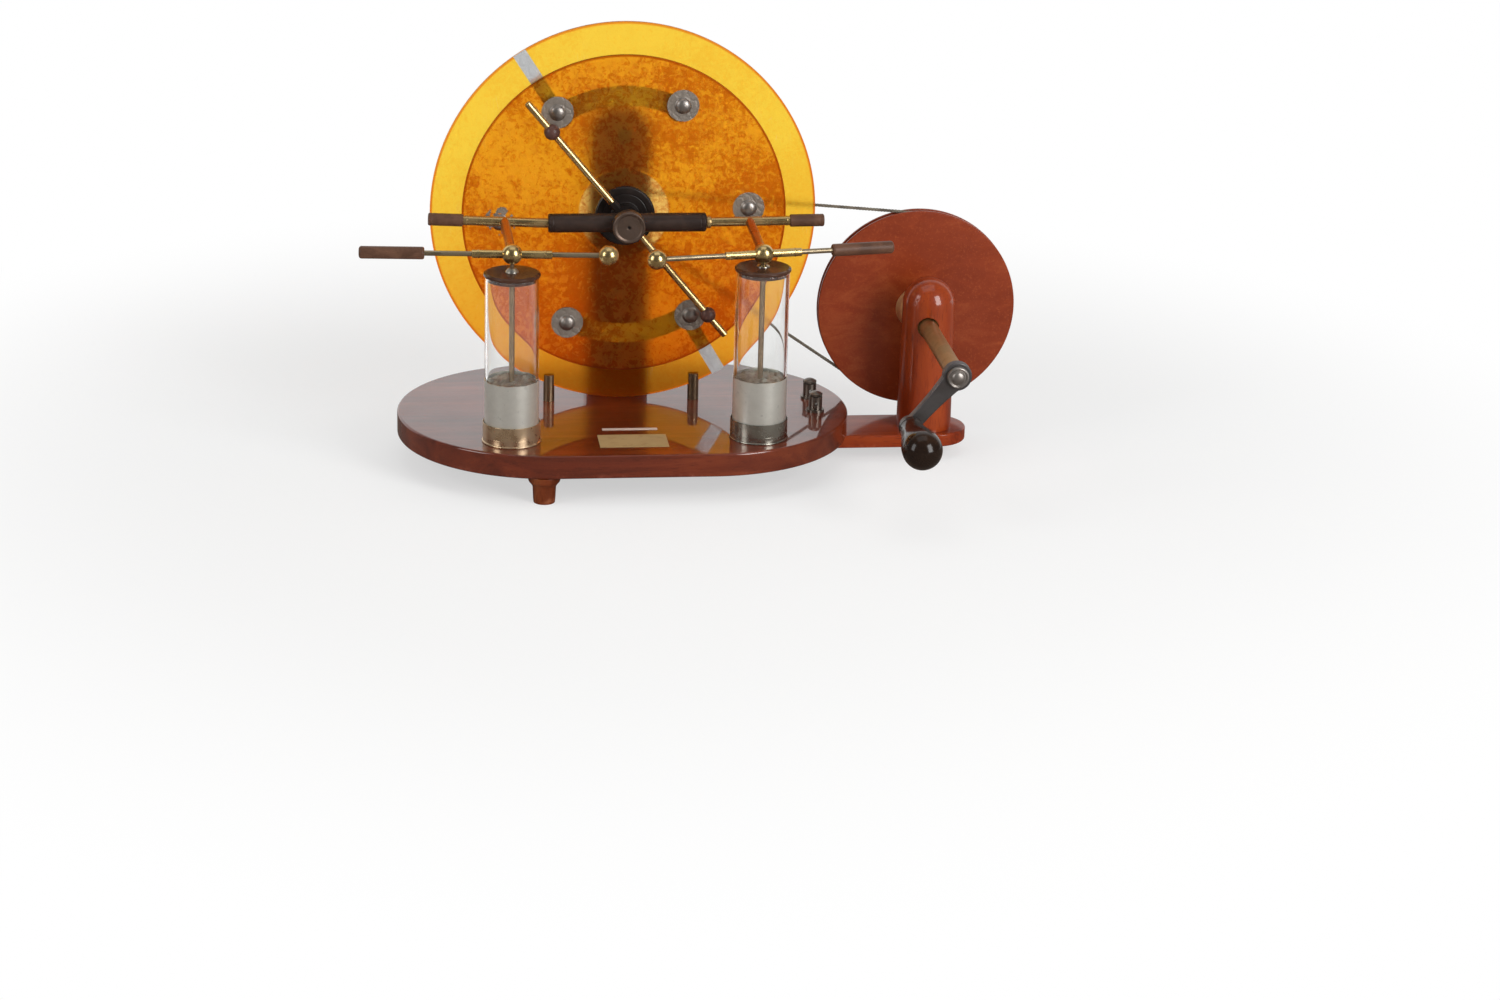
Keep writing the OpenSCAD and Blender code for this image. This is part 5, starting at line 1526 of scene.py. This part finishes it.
@dataclass
class Studio:
    """Floor, light, backdrop and camera."""

    camera_place: tuple[float, float, float] = (-297.82, -3133.69, 836.92)
    lens: float = 83.688
    yaw: float = 7.70
    pitch: float = 19.55
    roll: float = 1.60
    lamps: tuple[SoftBox, ...] = (
        SoftBox("right_box", 39, 20, (1.1, 1.9), 56),
        SoftBox("left_box", -65, 22, (1.0, 1.7), 22),
        SoftBox("top_box", 0, 86, (2.0, 1.4), 7, 2.2),
    )

    @staticmethod
    def seen(graph: Graph) -> tuple[Shade, Shade]:
        """Whether a ray comes straight or through glass from the camera, and whether from a gloss."""
        ray = graph.node("ShaderNodeLightPath").outputs
        straight = Shade(graph, ray["Is Camera Ray"]).larger(Shade(graph, ray["Is Transmission Ray"]))
        return straight, Shade(graph, ray["Is Glossy Ray"])

    def floor(self) -> None:
        """Pale floor that fades into the white backdrop."""
        mesh = bmesh.new()
        bmesh.ops.create_grid(mesh, x_segments=2, y_segments=2, size=12)
        sheet = bpy.data.meshes.new("studio_floor")
        mesh.to_mesh(sheet)
        mesh.free()
        floor = bpy.data.objects.new("studio_floor", sheet)
        bpy.context.scene.collection.objects.link(floor)
        material = bpy.data.materials.new("studio_floor")
        material.use_nodes = True
        graph = Graph(material.node_tree)
        straight, glossy = self.seen(graph)
        near = 1 - graph.axis(graph.coords(), 1).step(0.25, 0.7)
        pale = graph.mix(glossy * near * (1 - straight), (0.88, 0.88, 0.87), (0.20, 0.17, 0.15))
        matt = graph.node("ShaderNodeBsdfDiffuse", {}, {"Color": pale})
        white = graph.node("ShaderNodeEmission", {}, {"Color": rgba((1, 1, 1)), "Strength": 1.0})
        far = graph.length(graph.coords()).step(0.42, 1.0) * 0.45 + 0.55
        fade = far * straight.larger(glossy * (1 - near))
        both = graph.node("ShaderNodeMixShader", {}, {0: fade, 1: matt.outputs[0], 2: white.outputs[0]})
        graph.node("ShaderNodeOutputMaterial", {}, {"Surface": both.outputs[0]})
        sheet.materials.append(material)

    def world(self) -> None:
        """White backdrop behind the machine, and a dimmer room on the operator's side."""
        world = bpy.data.worlds.new("studio")
        bpy.context.scene.world = world
        world.use_nodes = True
        graph = Graph(world.node_tree)
        away = graph.axis(graph.node("ShaderNodeTexCoord").outputs["Generated"], 1)
        straight, glossy = self.seen(graph)
        mirrored = glossy * (away.step(0.3, 0.7) * 0.9 + 0.1)
        level = straight.larger(mirrored) + (1 - straight.larger(glossy)) * 0.42
        shade = graph.node("ShaderNodeBackground", {}, {"Color": rgba((1, 1, 1)), "Strength": level})
        graph.node("ShaderNodeOutputWorld", {}, {"Surface": shade.outputs[0]})

    def camera(self) -> None:
        """Camera at the photograph's place."""
        yaw, pitch, roll = (math.radians(a) for a in (self.yaw, self.pitch, self.roll))
        ahead = Vector((math.sin(yaw) * math.cos(pitch), math.cos(yaw) * math.cos(pitch), -math.sin(pitch)))
        right = Vector((math.cos(yaw), -math.sin(yaw), 0))
        above = right.cross(ahead)
        across = right * math.cos(roll) + above * math.sin(roll)
        upward = above * math.cos(roll) - right * math.sin(roll)
        data = bpy.data.cameras.new("camera")
        data.sensor_width, data.lens, data.clip_end = 36.0, self.lens, 50.0
        camera = bpy.data.objects.new("camera", data)
        turn = Matrix((across, upward, -ahead)).transposed().to_4x4()
        camera.matrix_world = Matrix.Translation(DATUM.at(*self.camera_place)) @ turn
        bpy.context.scene.collection.objects.link(camera)
        bpy.context.scene.camera = camera

    def build(self) -> None:
        """Sets the studio up."""
        bpy.context.scene.view_settings.view_transform = "Standard"
        self.camera()
        self.floor()
        self.world()
        for lamp in self.lamps:
            lamp.build()


def main() -> None:
    """Builds the machine and the studio."""
    logging.basicConfig(level=logging.INFO, format="%(message)s")
    Studio().build()
    rods = [DischargeRod(side) for side in Side]
    for assembly in (Base(), Plates(), Combs(), Neutraliser(), Jars(), *rods, Terminals(), Drive()):
        assembly.build()
        LOG.info("%s is built", type(assembly).__name__)


if __name__ == "__main__":
    main()
